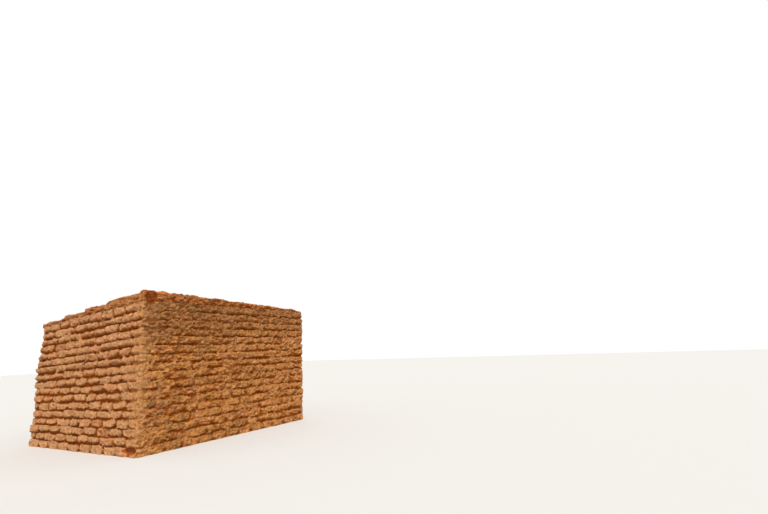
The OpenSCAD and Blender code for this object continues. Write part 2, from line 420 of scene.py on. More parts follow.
def skin(
    name: str,
    points: ndarray,
    layers: dict[str, ndarray],
    vectors: dict[str, ndarray] | None = None,
    crease: float = 70.0,
) -> Object:
    """Bends a grid round into a closed tube, fills its two ends and makes it an object.

    Args:
        name: Name of the piece.
        points: Places of shape (rows, columns, 3). Columns run round the tube with the outside on
            the right of the rows' direction.
        layers: Values of shape (rows, columns) kept at the points, by name.
        vectors: Vectors of shape (rows, columns, 3) kept at the points, by name.
        crease: Angle in degrees past which an edge stays sharp.

    Returns:
        The new object, at the origin, with its place in its mesh.
    """
    rows, columns = points.shape[:2]
    shell = bmesh.new()
    bmesh.ops.create_grid(shell, x_segments=columns, y_segments=rows - 1, size=1.0)
    shell.verts.ensure_lookup_table()
    for vert, place in zip(shell.verts, closed_round(points)):
        vert.co = place
    made = [(shell.verts.layers.float.new(key), values) for key, values in layers.items()]
    for key, values in (vectors or {}).items():
        made.append((shell.verts.layers.float_vector.new(key), values))
    for layer, values in made:
        for vert, value in zip(shell.verts, closed_round(values)):
            vert[layer] = value
    seam = {
        shell.verts[row * (columns + 1) + columns]: shell.verts[row * (columns + 1)]
        for row in range(rows)
    }
    bmesh.ops.weld_verts(shell, targetmap=seam)
    fill_holes(shell)
    return finished(name, shell, crease)


def fill_holes(shell: bmesh.types.BMesh) -> None:
    """Closes the open rims of a mesh with triangles.

    Args:
        shell: The mesh. It is changed.
    """
    rims = [edge for edge in shell.edges if edge.is_boundary]
    lids = bmesh.ops.holes_fill(shell, edges=rims, sides=0)["faces"]
    bmesh.ops.triangulate(shell, faces=lids, quad_method="BEAUTY", ngon_method="EAR_CLIP")


def finished(name: str, shell: bmesh.types.BMesh, crease: float = 70.0) -> Object:
    """Turns a closed bmesh into an object with its faces outwards.

    Args:
        name: Name of the piece.
        shell: The closed mesh. It is freed.
        crease: Angle in degrees past which an edge stays sharp.

    Returns:
        The new object, linked to the scene.
    """
    bmesh.ops.recalc_face_normals(shell, faces=shell.faces)
    for face in shell.faces:
        face.smooth = True
    mesh = bpy.data.meshes.new(name)
    shell.to_mesh(mesh)
    shell.free()
    mesh.set_sharp_from_angle(angle=math.radians(crease))
    return linked(name, mesh)


def linked(name: str, data: bpy.types.ID) -> Object:
    """Makes an object and links it to the scene.

    Args:
        name: Name of the object.
        data: Its mesh, lamp or camera.

    Returns:
        The new object, at the origin.
    """
    made = bpy.data.objects.new(name, data)
    bpy.context.scene.collection.objects.link(made)
    return made


def dress(piece: Object, material: Material, nodes: Sequence[str]) -> None:
    """Gives a finished piece its material, its body and the CAD nodes that it stands for.

    Args:
        piece: The finished piece.
        material: Its material.
        nodes: CAD nodes that it replaces.
    """
    piece.data.materials.clear()
    piece.data.materials.append(material)
    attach(piece, BODY)
    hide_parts(*nodes)
    LOG.info("%s: %d faces, for %s", piece.name, len(piece.data.polygons), ", ".join(nodes))


# Finishes


def linear(colour: str) -> tuple[float, float, float, float]:
    """Turns an sRGB colour into the linear colour of a shader socket.

    Args:
        colour: Hex value such as "#C8956A".

    Returns:
        Red, green, blue and an alpha of 1.
    """
    parts = [int(colour[i : i + 2], 16) / 255.0 for i in (1, 3, 5)]
    turned = [p / 12.92 if p <= 0.04045 else ((p + 0.055) / 1.055) ** 2.4 for p in parts]
    return turned[0], turned[1], turned[2], 1.0


def add_node(
    tree: NodeTree,
    kind: str,
    inputs: dict[int | str, object] | None = None,
    **settings: object,
) -> bpy.types.Node:
    """Adds one shader node, sets it up and links it.

    Args:
        tree: Node tree of the material or world.
        kind: Blender's name of the node's type.
        inputs: Numbers or colours to set, and sockets to link, by the input's name or number.
        **settings: Properties of the node.

    Returns:
        The new node.
    """
    node = tree.nodes.new(kind)
    for key, value in settings.items():
        setattr(node, key, value)
    for key, value in (inputs or {}).items():
        if isinstance(value, NodeSocket):
            tree.links.new(value, node.inputs[key])
        else:
            node.inputs[key].default_value = value
    return node


def blank_material(name: str) -> tuple[Material, NodeTree]:
    """Makes a material with an empty node tree.

    Args:
        name: Name of the material.

    Returns:
        The material and its node tree.
    """
    material = bpy.data.materials.new(name)
    material.use_nodes = True
    material.node_tree.nodes.clear()
    return material, material.node_tree


@dataclass(frozen=True)
class MudFinish:
    """Sun-dried laterite mud with sand, gravel and chopped straw, dry and dull at every angle.

    The pieces carry these values at their points: tone (lighter or darker brick), joint (how deep
    in a joint, with painted shade added in the recesses and on the undersides), worn (washed by
    driving rain), fresh (newly broken), plaster (smeared smooth) and stain (where algae and soot
    settle first).
    """

    name: str
    crisp: str
    washed: str
    stained: str
    # Red of the joints and cracks, also laid on as painted shade in recesses, clod hollows and
    # undersides
    deep: str
    broken: str
    smeared: str
    ruddy: str
    stain_share: float = 0.5
    crumb_mm: float = 16.0
    grit_mm: float = 5.0
    crumb_height_mm: float = 7.0
    crack_mm: float = 0.0

    def material(self) -> Material:
        """Builds the material.

        Returns:
            A material that reads Object coordinates and the pieces' point values.
        """
        material, tree = blank_material(self.name)
        space = add_node(tree, "ShaderNodeTexCoord").outputs["Object"]
        marks = {
            key: add_node(tree, "ShaderNodeAttribute", attribute_name=key).outputs["Fac"]
            for key in MARKS
        }
        # Streaks that run-off has drawn down the faces, 60 mm wide and 0.5 m long
        drawn_out = add_node(
            tree, "ShaderNodeMapping",
            {"Vector": space, "Scale": (14.0, 14.0, 1.6), "Location": (3.1, 0.0, 0.0)},
        ).outputs["Vector"]
        broad, streak, clod, scrap, crumb = (
            add_node(
                tree, "ShaderNodeTexNoise",
                {
                    "Vector": place,
                    "Scale": scale,
                    "Detail": detail,
                    "Roughness": rough,
                    "Distortion": bend,
                },
            ).outputs["Fac"]
            for place, scale, detail, rough, bend in (
                # Swells of about 0.5 m: damp patches and the colour of each day's mud
                (space, 1.9, 4.0, 0.6, 0.0),
                (drawn_out, 1.0, 3.0, 0.6, 0.0),
                # Clods and lost crumbs of a few centimetres
                (space, 24.0, 4.0, 0.7, 0.0),
                # Scraps of the hard crust that the rain has left standing, about 50 mm across
                (space, 19.0, 2.0, 0.6, 0.6),
                # Crumbling surface between the gravel
                (space, 1000.0 / self.crumb_mm, 5.0, 0.65, 0.0),
            )
        )
        # Gravel and coarse sand, three grains apart
        grit = add_node(
            tree, "ShaderNodeTexVoronoi",
            {"Vector": space, "Scale": 1000.0 / (3.0 * self.grit_mm), "Randomness": 1.0},
        ).outputs["Distance"]
        # Grey-brown patches where algae and soot hold on the washed faces
        soot = add_node(tree, "ShaderNodeMath", {0: broad, 1: streak}, operation="ADD").outputs[0]
        soot = add_node(
            tree, "ShaderNodeMath", {0: marks["stain"], 1: 0.34, 2: soot},
            operation="MULTIPLY_ADD",
        ).outputs[0]
        # Crust, gravel, bricks from a redder batch of mud, stains, and painted shade in the hollows
        # of the clods
        crust, gravel, batch, patch, hollow_shade = (
            add_node(
                tree, "ShaderNodeMapRange",
                {"Value": source, "From Min": low, "From Max": high, "To Max": most},
                interpolation_type="SMOOTHSTEP",
            ).outputs["Result"]
            for source, low, high, most in (
                (scrap, 0.43, 0.55, 1.0),
                (grit, 0.34, 0.16, 1.0),
                (marks["tone"], 0.1, 1.0, 0.45),
                (soot, 0.98, 1.28, self.stain_share),
                (clod, 0.47, 0.33, 1.0),
            )
        )
        # Rain brings out the stains; the painted shade in the clod hollows is stronger on the worn
        # faces
        patch, hollow_shade = (
            add_node(
                tree, "ShaderNodeMath",
                {
                    0: source,
                    1: add_node(
                        tree, "ShaderNodeMath",
                        {0: marks["worn"], 1: more, 2: least},
                        operation="MULTIPLY_ADD",
                    ).outputs[0],
                },
                operation="MULTIPLY",
            ).outputs[0]
            for source, more, least in ((patch, 0.8, 0.2), (hollow_shade, 0.30, 0.30))
        )
        shade = add_node(
            tree, "ShaderNodeMath", {0: marks["joint"], 1: hollow_shade}, operation="MAXIMUM"
        ).outputs[0]
        # Crisp mud first, then what rain, hands, the batch, soot, joints with their painted shade,
        # and breakage make of it
        body = linear(self.crisp)
        for share, colour in (
            (marks["worn"], self.washed),
            (marks["plaster"], self.smeared),
            (batch, self.ruddy),
            (patch, self.stained),
            (shade, self.deep),
            (marks["fresh"], self.broken),
        ):
            body = add_node(
                tree, "ShaderNodeMix",
                {0: share, MIX_A: body, MIX_B: linear(colour)},
                data_type="RGBA",
            ).outputs[MIX_OUT]
        # Light and dark: each brick's own, clods, crumbs and pale gravel
        light = 1.0
        for source, share, middle in (
            (marks["tone"], 0.09, 0.0),
            (broad, 0.22, 0.5),
            (clod, 0.8, 0.5),
            (crust, 0.20, 0.6),
            (crumb, 1.0, 0.5),
            (gravel, 0.10, 0.1),
        ):
            offset = add_node(
                tree, "ShaderNodeMath",
                {0: source, 1: share, 2: -middle * share},
                operation="MULTIPLY_ADD",
            ).outputs[0]
            light = add_node(
                tree, "ShaderNodeMath", {0: light, 1: offset}, operation="ADD"
            ).outputs[0]
        body = add_node(
            tree, "ShaderNodeHueSaturation", {"Color": body, "Value": light}
        ).outputs["Color"]
        # Relief: crust over clods, sunken cracks, crumbs, then gravel that stands proud
        bumps = [(clod, 1.0, 26.0, False), (crust, 0.9, 6.0, False)]
        if self.crack_mm > 0.0:
            crack = self._cracks(tree, space)
            share = add_node(
                tree, "ShaderNodeMath", {0: crack, 1: 0.65}, operation="MULTIPLY"
            ).outputs[0]
            body = add_node(
                tree, "ShaderNodeMix",
                {0: share, MIX_A: body, MIX_B: linear(self.deep)},
                data_type="RGBA",
            ).outputs[MIX_OUT]
            bumps.append((crack, 1.0, 6.0, True))
        bumps += [(crumb, 0.9, self.crumb_height_mm, False), (gravel, 0.5, 2.0, False)]
        relief = {}
        for height, strength, high_mm, sunken in bumps:
            relief["Normal"] = add_node(
                tree, "ShaderNodeBump",
                {"Height": height, "Strength": strength, "Distance": high_mm / 1000.0, **relief},
                invert=sunken,
            ).outputs["Normal"]
        surface = add_node(
            tree, "ShaderNodeBsdfPrincipled",
            {
                "Base Color": body,
                "Roughness": 0.96,
                "IOR": 1.45,
                "Specular IOR Level": 0.15,
                **relief,
            },
        )
        add_node(tree, "ShaderNodeOutputMaterial", {"Surface": surface.outputs[0]})
        return material

    def _cracks(self, tree: NodeTree, space: NodeSocket) -> NodeSocket:
        """Draws drying cracks.

        Args:
            tree: Node tree of the material.
            space: Object coordinates.

        Returns:
            1 in a crack and 0 beside it.
        """
        warp = add_node(
            tree, "ShaderNodeTexNoise", {"Vector": space, "Scale": 9.0, "Detail": 3.0}
        ).outputs["Color"]
        bent = add_node(
            tree, "ShaderNodeVectorMath",
            {0: warp, 1: (0.07, 0.07, 0.07), 2: space},
            operation="MULTIPLY_ADD",
        ).outputs[0]
        edge = add_node(
            tree, "ShaderNodeTexVoronoi",
            {"Vector": bent, "Scale": 1000.0 / self.crack_mm, "Randomness": 0.95},
            feature="DISTANCE_TO_EDGE",
        ).outputs["Distance"]
        return add_node(
            tree, "ShaderNodeMapRange",
            {"Value": edge, "From Min": 0.0, "From Max": 0.035, "To Min": 1.0, "To Max": 0.0},
            interpolation_type="SMOOTHSTEP",
        ).outputs["Result"]


@dataclass(frozen=True)
class WoodFinish:
    """Bark-stripped savanna timber, greyed by sun and dust, with long drying cracks.

    The pieces carry log_space: the place in the log, with the third number along the grain.
    """

    name: str
    grey: str
    brown: str
    crack: str
    grain_mm: float = 3.0

    def material(self) -> Material:
        """Builds the material.

        Returns:
            A material that reads the pieces' own log_space.
        """
        material, tree = blank_material(self.name)
        space = add_node(tree, "ShaderNodeAttribute", attribute_name="log_space").outputs["Vector"]
        across = 1000.0 / self.grain_mm / 3.0
        # Fibres, drawn three grain widths thick so that they show
        fibre_space = add_node(
            tree, "ShaderNodeMapping", {"Vector": space, "Scale": (across, across, 6.0)}
        ).outputs["Vector"]
        fibre = add_node(
            tree, "ShaderNodeTexNoise",
            {"Vector": fibre_space, "Scale": 1.0, "Detail": 4.0, "Roughness": 0.6},
        ).outputs["Fac"]
        # Cracks 20 to 40 mm apart that follow the fibres
        crack_space = add_node(
            tree, "ShaderNodeMapping", {"Vector": space, "Scale": (34.0, 34.0, 1.7)}
        ).outputs["Vector"]
        crack = add_node(
            tree, "ShaderNodeTexNoise",
            {"Vector": crack_space, "Scale": 1.0, "Detail": 3.0, "Distortion": 0.4},
        ).outputs["Fac"]
        crack = add_node(
            tree, "ShaderNodeMapRange",
            {"Value": crack, "From Min": 0.36, "From Max": 0.44, "To Min": 1.0, "To Max": 0.0},
            interpolation_type="SMOOTHSTEP",
        ).outputs["Result"]
        # Patches where dust or the brown heartwood shows
        patch = add_node(
            tree, "ShaderNodeTexNoise", {"Vector": space, "Scale": 7.0, "Detail": 3.0}
        ).outputs["Fac"]
        body = add_node(
            tree, "ShaderNodeMix",
            {0: patch, MIX_A: linear(self.grey), MIX_B: linear(self.brown)},
            data_type="RGBA",
        ).outputs[MIX_OUT]
        gain = add_node(
            tree, "ShaderNodeMath", {0: fibre, 1: 0.7, 2: 0.65}, operation="MULTIPLY_ADD"
        ).outputs[0]
        body = add_node(
            tree, "ShaderNodeHueSaturation", {"Color": body, "Value": gain}
        ).outputs["Color"]
        body = add_node(
            tree, "ShaderNodeMix",
            {0: crack, MIX_A: body, MIX_B: linear(self.crack)},
            data_type="RGBA",
        ).outputs[MIX_OUT]
        relief = add_node(
            tree, "ShaderNodeBump", {"Height": fibre, "Strength": 0.6, "Distance": 0.002}
        ).outputs["Normal"]
        relief = add_node(
            tree, "ShaderNodeBump",
            {"Height": crack, "Strength": 0.8, "Distance": 0.004, "Normal": relief},
            invert=True,
        ).outputs["Normal"]
        surface = add_node(
            tree, "ShaderNodeBsdfPrincipled",
            {
                "Base Color": body,
                "Roughness": 0.82,
                "IOR": 1.45,
                "Specular IOR Level": 0.3,
                "Normal": relief,
            },
        )
        add_node(tree, "ShaderNodeOutputMaterial", {"Surface": surface.outputs[0]})
        return material


@dataclass(frozen=True)
class ReedFinish:
    """Split reeds woven over and under, straw-coloured, with dust from the roof."""

    name: str
    light: str
    dark: str
    strip_mm: float = 12.0

    def material(self) -> Material:
        """Builds the material.

        Returns:
            A material that reads Object coordinates.
        """
        material, tree = blank_material(self.name)
        space = add_node(tree, "ShaderNodeTexCoord").outputs["Object"]
        # Strips one reed wide, with their fibres drawn out along X
        strips = add_node(
            tree, "ShaderNodeMapping",
            {"Vector": space, "Scale": (6.0, 1000.0 / self.strip_mm, 1.0)},
        ).outputs["Vector"]
        strip = add_node(
            tree, "ShaderNodeTexNoise", {"Vector": strips, "Scale": 1.0, "Detail": 4.0}
        ).outputs["Fac"]
        weave = add_node(
            tree, "ShaderNodeTexChecker",
            {"Vector": space, "Scale": 1000.0 / self.strip_mm / 4.0},
        ).outputs["Fac"]
        amount = add_node(
            tree, "ShaderNodeMath", {0: weave, 1: 0.25, 2: strip}, operation="MULTIPLY_ADD"
        ).outputs[0]
        body = add_node(
            tree, "ShaderNodeMix",
            {0: amount, MIX_A: linear(self.dark), MIX_B: linear(self.light)},
            data_type="RGBA",
        ).outputs[MIX_OUT]
        relief = add_node(
            tree, "ShaderNodeBump", {"Height": amount, "Strength": 0.7, "Distance": 0.003}
        ).outputs["Normal"]
        surface = add_node(
            tree, "ShaderNodeBsdfPrincipled",
            {"Base Color": body, "Roughness": 0.7, "IOR": 1.5, "Normal": relief},
        )
        add_node(tree, "ShaderNodeOutputMaterial", {"Surface": surface.outputs[0]})
        return material


# Banco: laterite mud pressed in a wooden mould and dried in the sun. Fresh faces bleach to a
# pinkish tan; faces in the driving rain wash down to the ochre mud; the joints keep their red.
ADOBE_BRICK = MudFinish(
    name="sun_dried_mud_brick",
    crisp="#D29968",
    washed="#CA8A4B",
    stained="#8A6442",
    deep="#954B0A",
    broken="#95430A",
    smeared="#D8985F",
    ruddy="#BE7F55",
    stain_share=0.62,
)

# Puddled laterite mud laid by hand on the wall tops, redder because it is renewed more often.
MUD_COPING = MudFinish(
    name="puddled_mud_coping",
    crisp="#C08554",
    washed="#C07C46",
    stained="#855C3A",
    deep="#8C4208",
    broken="#93450F",
    smeared="#C58E5C",
    ruddy="#A9632F",
    stain_share=0.6,
    crumb_mm=20.0,
)

# Mud plaster smeared over the corner with the hand: finer sand, a paler and smoother skin.
MUD_PLASTER = MudFinish(
    name="smeared_mud_plaster",
    crisp="#CC915E",
    washed="#C48952",
    stained="#A2713F",
    deep="#8A4A10",
    broken="#A4561E",
    smeared="#CC915C",
    ruddy="#C98A5A",
    stain_share=0.3,
    crumb_height_mm=5.0,
)

# Beaten earth on the roof: laterite gravel and clay, tamped wet, cracked as it dried.
BEATEN_EARTH = MudFinish(
    name="beaten_roof_earth",
    crisp="#C08F62",
    washed="#B58353",
    stained="#8E6A48",
    deep="#7C4E2A",
    broken="#9C5A28",
    smeared="#C0915F",
    ruddy="#B07C4E",
    crumb_height_mm=4.0,
    crack_mm=170.0,
)

# Hardwood logs with the bark off, greyed by years of sun.
WEATHERED_LOG = WoodFinish(
    name="weathered_log",
    grey="#8E7C68",
    brown="#7A5C42",
    crack="#2E221A",
)

# Straight young stems laid close as roof poles, kept brown in the shade.
ROOF_POLE = WoodFinish(
    name="roof_pole_wood",
    grey="#94795A",
    brown="#6E5036",
    crack="#33241A",
    grain_mm=2.0,
)

# Split reed mat, woven twill-like by hand.
SPLIT_REED = ReedFinish(name="split_reed", light="#BFA066", dark="#7C5E34")


# Masonry


@dataclass
class Bond:
    """Where each brick begins and ends, and what is particular to it."""

    size: HouseSize
    brick: float = 0.345
    header: float = 0.205
    jitter: float = 0.022
    closer: float = 0.123
    ends: dict[tuple[Face, int], ndarray] = field(default_factory=dict)
    chances: dict[tuple[Face, int], ndarray] = field(default_factory=dict)

    def __post_init__(self) -> None:
        """Lays the bricks of every course, with broken joints from one course to the next."""
        rng = np.random.default_rng(SEED + 5)
        door = (self.size.right - self.size.door_right, self.size.right - self.size.door_left)
        for face in Face:
            whole = self.size.length_of(face)
            for course in range(self.size.courses):
                stretches = [(0.0, whole)]
                if face is Face.BACK and course < self.size.door_courses:
                    stretches = [(0.0, door[0]), (door[1], whole)]
                marks: list[float] = [0.0]
                for start, end in stretches:
                    marks.append(start)
                    place = start + (self.header, self.brick)[(course + face.value) % 2]
                    while place < end - self.closer:
                        marks.append(place + rng.uniform(-self.jitter, self.jitter))
                        place += self.brick * rng.uniform(0.90, 1.08)
                    marks.append(end)
                self.ends[face, course] = np.unique(np.array(marks))
                self.chances[face, course] = rng.uniform(-1.0, 1.0, (len(marks) + 1, 8))

    def look_up(self, walk: ndarray, course: int) -> tuple[ndarray, ...]:
        """Finds the brick at each place of one course.

        Args:
            walk: Distances walked round the house.
            course: Number of the course, from the ground.

        Returns:
            Distance to the nearest upright joint, distance to the nearest corner of the house,
            distance from the brick's middle, and the brick's eight chance numbers.
        """
        run = np.mod(walk, self.size.girth)
        beyond = self.size.girth
        gap = np.full(len(run), beyond)
        turn = np.full(len(run), beyond)
        along = np.zeros(len(run))
        chance = np.zeros((len(run), 8))
        for face in Face:
            start, whole = self.size.start_of(face), self.size.length_of(face)
            here = (run >= start) & (run <= start + whole)
            place = run[here] - start
            ends = self.ends[face, course]
            index = np.clip(np.searchsorted(ends, place, side="right") - 1, 0, len(ends) - 2)
            before, after = place - ends[index], ends[index + 1] - place
            turn[here] = np.minimum(place, whole - place)
            along[here] = (before - after) / 2.0
            before = np.where(ends[index] < 0.001, beyond, before)
            after = np.where(ends[index + 1] > whole - 0.001, beyond, after)
            gap[here] = np.minimum(before, after)
            chance[here] = self.chances[face, course][index]
        return gap, turn, along, chance


@dataclass(frozen=True)
class WornCorner:
    """A corner of the house that rain has rounded off towards its top."""

    x: float
    y: float
    radius: float
    overcut: float
    low: float
    high: float


@dataclass
class Weather:
    """What laying, hands, rain and breakage have made of the mud faces.

    Every wall piece and coping asks this one class, so that neighbouring pieces meet.
    """

    size: HouseSize
    noise: MudNoise
    bond: Bond
    joint_crisp: float = 0.040
    joint_worn: float = 0.027
    batter: float = 0.012
    chip_radius: float = 0.16
    chip_depth: float = 0.064
    chip_offset: float = 0.138
    chip_rise: float = 0.06
    foot_depth: float = 0.048
    foot_middle: float = 0.17
    foot_half: float = 0.205
    foot_height: float = 0.094
    foot_rise: float = 0.056
    smear_front: float = 0.26
    smear_gable: float = 0.24
    washed_middle: float = 0.8
    washed_half: float = 0.9
    seat_spread: float = 0.016
    ragged: float = 0.045

    @cached_property
    def openness(self) -> ndarray:
        """How far each bed joint has opened, from the ground up, about 1."""
        opened = np.random.default_rng(SEED + 21).uniform(0.68, 1.30, self.size.courses + 1)
        return opened * np.where(np.arange(len(opened)) < 8, 0.86, 1.0)

    @property
    def worn_corners(self) -> tuple[WornCorner, ...]:
        """Gives the corners that rain has rounded off.

        Returns:
            The back left one, worn far down, and the front right one, worn at its top.
        """
        size = self.size
        return (
            WornCorner(size.left, size.back, radius=0.20, overcut=0.01, low=1.46, high=1.76),
            WornCorner(size.right, size.front, radius=0.15, overcut=0.005, low=2.26, high=2.48),
        )

    def exposure(self, walk: ndarray) -> ndarray:
        """Gives how far rain has worn each face.

        Args:
            walk: Distances walked round the house.

        Returns:
            0 where it is crisp to 1 where it is washed out.
        """
        turns = [self.size.start_of(face) for face in (Face.RIGHT, Face.BACK, Face.LEFT)]
        stops = [0.02] + [turn + gap for turn in turns for gap in (-0.1, 0.1)]
        stops.append(self.size.girth - 0.1)
        # Front wall, right gable, back wall and left gable, at both ends of each
        levels = [1.0, 0.8, 0.3, 0.3, 0.75, 0.75, 0.0, 0.0]
        return np.interp(walk, stops, levels, period=self.size.girth)

    def joint_lines(self, plan: Plan) -> ndarray:
        """Gives the uneven heights of the bed joints.

        Args:
            plan: Upright lines of the piece.

        Returns:
            Differences from the true height, of shape (courses + 1, lines).
        """
        rows = []
        worn = self.exposure(plan.walk)
        for joint in range(self.size.courses + 1):
            places = np.stack([plan.x, plan.y, np.full_like(plan.x, joint * 0.73)], axis=1)
            wave = (0.011 + 0.003 * worn) * self.noise.at(places, (0.55, 0.55, 0.4))
            wave += (0.008 + 0.002 * worn) * self.noise.at(places, (0.21, 0.21, 0.3))
            rows.append(wave * (0.0 if joint == 0 else 1.0))
        return np.array(rows)

    def chip(self, points: ndarray) -> ndarray:
        """Gives how deep the broken corner reaches into the front face.

        Args:
            points: Places on the face.

        Returns:
            Depths in metres, 0 away from the break.
        """
        across = points[..., 0] - (self.size.left + self.chip_offset)
        above = points[..., 2] - (self.size.front_top + self.chip_rise)
        across = across * (1.0 + 0.6 * np.clip(-above / self.chip_radius, 0.0, 1.0))
        across = across + 0.030 * self.noise.layered(points + 2.0, 0.07, 2)
        rough = 0.012 + 0.020 * self.noise.layered(points, 0.10, 3)
        reach = self.chip_radius**2 - across**2 - above**2
        depth = np.sqrt(np.maximum(reach, 0.0)) - (self.chip_radius - self.chip_depth) + rough
        depth = np.minimum(depth, 0.042 + 0.010 * self.noise.at(points, 0.06))
        return np.where(reach > 0.0, np.maximum(depth, 0.0), 0.0)

    def foot(self, points: ndarray) -> ndarray:
        """Gives how deep the foot of the near corner is washed out of the gable face.

        Args:
            points: Places on the faces.

        Returns:
            Depths in metres, 0 away from the hollow.
        """
        across = (points[..., 1] - (self.size.front + self.foot_middle)) / self.foot_half
        above = (points[..., 2] - self.foot_height) / (self.foot_rise - 0.014 * across)
        rough = 0.5 * self.noise.layered(points, 0.08, 3)
        share = np.clip(1.0 + rough - across**2 - above**2, 0.0, 1.0)
        on_gable = points[..., 0] < self.size.left + 0.05
        return np.where(on_gable, self.foot_depth * share**0.6, 0.0)

    def worn_back(self, points: ndarray, out: ndarray) -> ndarray:
        """Gives how far the worn corners lie behind the true faces.

        Args:
            points: Places on the unworn faces.
            out: Outward directions there.

        Returns:
            Depths in metres along those directions.
        """
        total = np.zeros(points.shape[:-1])
        rough = 0.07 * self.noise.at(points, 0.3)
        for corner in self.worn_corners:
            reach = corner.radius - corner.overcut
            inwards = -np.sign([corner.x, corner.y])
            arm = points[..., :2] - (np.array([corner.x, corner.y]) + inwards * reach)
            along = np.sum(arm * out, axis=-1)
            inside = corner.radius**2 - np.sum(arm**2, axis=-1) + along**2
            depth = along - np.sqrt(np.maximum(inside, 0.0))
            near = (arm[..., 0] * inwards[0] < 0.0) & (arm[..., 1] * inwards[1] < 0.0)
            height = smooth_step(points[..., 2] + rough, corner.low, corner.high)
            total = total + np.where(near, np.maximum(depth, 0.0) * height, 0.0)
        return total

    def washed_top(self, points: ndarray) -> ndarray:
        """Gives where the top of the front wall has lost its joints to the rain."""
        away = (points[..., 0] - self.size.left - self.washed_middle) / self.washed_half
        return np.exp(-(away**2)) * (points[..., 1] < self.size.front + 0.05)

    def near_corner(self, plan: Plan, spread: float = 1.0) -> ndarray:
        """Gives how far the hand-smeared mud of the near corner reaches over each line.

        Args:
            plan: Upright lines of the piece.
            spread: Factor on its reach along the front wall.

        Returns:
            1 at the corner, falling to 0.
        """
        run = np.mod(plan.walk + self.size.girth / 2.0, self.size.girth) - self.size.girth / 2.0
        width = np.where(run > 0.0, self.smear_front * spread, self.smear_gable)
        return np.exp(-((run / width) ** 2)) * plan.upright

    def roughness(self, points: ndarray, worn: ndarray) -> ndarray:
        """Gives the uneven face that moulding and rain have left.

        Args:
            points: Places on the faces.
            worn: How far rain has worn them.

        Returns:
            Depths in metres.
        """
        noise = self.noise
        swells = noise.at(points, 0.42) * 0.006
        # Rain has scoured some stretches to gravel and left the loaves whole in others
        scoured = smooth_step(noise.layered(points + 7.0, (0.42, 0.42, 0.20), 2), -0.4, 0.35)
        scoured = 1.0 - worn * (0.50 - 0.65 * scoured)
        beyond = smooth_step(points[..., 0], self.size.left + 0.25, self.size.left + 0.55)
        whole = worn * beyond * smooth_step(points[..., 2], 1.5, 0.5)
        scoured = scoured * (1.0 - 0.30 * whole)
        lumps = noise.layered(points, 0.11, 2) * (0.0075 + 0.0110 * worn)
        ledges = noise.layered(points + 1.3, (0.17, 0.17, 0.085), 2)
        ledges = np.abs(ledges + 0.1) * (0.006 + 0.028 * worn)
        crumbs = noise.layered(points + 3.7, (0.050, 0.050, 0.028), 2) * (0.0055 + 0.0025 * worn)
        # Rounded clods with creases between them, where rain has washed the fines away
        bent = points + 0.02 * noise.at(points + 9.0, 0.06)[..., None]
        clods = np.abs(noise.at(bent + 5.1, (0.15, 0.15, 0.07)))
        clods = clods + 0.7 * np.abs(noise.at(bent, (0.068, 0.068, 0.036)))
        clods = (0.42 - clods) * (0.0160 + 0.0190 * worn)
        runs = np.maximum(noise.layered(points, (0.16, 0.16, 0.7), 2), 0.0)
        height = points[..., 2] / self.size.front_top
        runs = runs * 0.010 * worn * (0.2 + 0.8 * height)
        pits = smooth_step(noise.at(points + 11.0, 0.045), 0.36, 0.62)
        pits = pits * (0.006 + 0.007 * worn)
        return swells + lumps + (ledges + crumbs + clods) * scoured + runs + pits

    def bridge(self, plan: Plan, course: int) -> ndarray:
        """Gives where mud squeezed from between two bricks closes the bed joint under them.

        Args:
            plan: Upright lines of the piece.
            course: Number of the bricks' course.

        Returns:
            1 under a full upright joint, falling to 0.
        """
        gap, _, _, chance = self.bond.look_up(plan.walk, course)
        full = np.clip(0.65 + 0.8 * chance[:, 4], 0.0, 1.0)
        return np.exp(-((gap / 0.030) ** 2)) * full

    def joint(self, plan: Plan, course: int, flat: ndarray, part: ndarray) -> tuple[ndarray, ...]:
        """Gives the raked joints round the bricks of one course and each brick's own seat.

        Args:
            plan: Upright lines of the piece.
            course: Number of the course.
            flat: Places on the true faces.
            part: Heights within the course, from 0 to 1, as a column.

        Returns:
            1 in an open joint and 0 on a full face, the depth of each brick's own seat, each
            brick's tone from -1 to 1, and how far it has crumbled.
        """
        noise = self.noise
        tall = self.size.course_at(plan.y)
        worn = self.exposure(plan.walk)
        gap, turn, along, chance = self.bond.look_up(plan.walk, course)
        wave = (0.011 + 0.005 * worn) * noise.at(flat, 0.08)
        wave = wave + (0.011 + 0.003 * worn) * noise.at(flat, 0.034)
        lean = (0.055 + 0.020 * worn) * chance[:, 6] * along
        spread = self.seat_spread
        below, above = self.openness[course], self.openness[course + 1]
        bottom = part * tall - 0.014 * below - spread * chance[:, 0] - lean + wave
        top = (1.0 - part) * tall - 0.014 * above - spread * chance[:, 7] + lean + wave
        lofty = (1.0 - worn) * smooth_step(flat[..., 2], 1.0, 1.5)
        # Rain has left the lowest bricks of the worn walls as whole, rounded loaves
        loaf = worn * smooth_step(flat[..., 2], 1.5, 0.5) * (1.0 - self.near_corner(plan, 1.4))
        underside = (0.029 + 0.009 * worn + 0.039 * lofty + 0.006 * loaf) * below
        low = np.clip(1.0 - bottom / underside, 0.0, None)
        rounding = (0.033 + 0.019 * worn + 0.017 * lofty + 0.006 * loaf) * above
        high = np.clip(1.0 - top / rounding, 0.0, None)
        low = low * (0.0 if course == 0 else 1.0)
        high = high * (0.25 if course == self.size.courses - 1 else 1.0)
        # On the crisp gables the mud between two bricks bridges the bed joint below them
        firm = 0.4 * (1.0 - worn) + 0.6 * lofty
        upper_course = min(course + 1, self.size.courses - 1)
        low = low * (1.0 - 0.85 * firm * self.bridge(plan, course))
        high = high * (1.0 - 0.85 * firm * self.bridge(plan, upper_course))
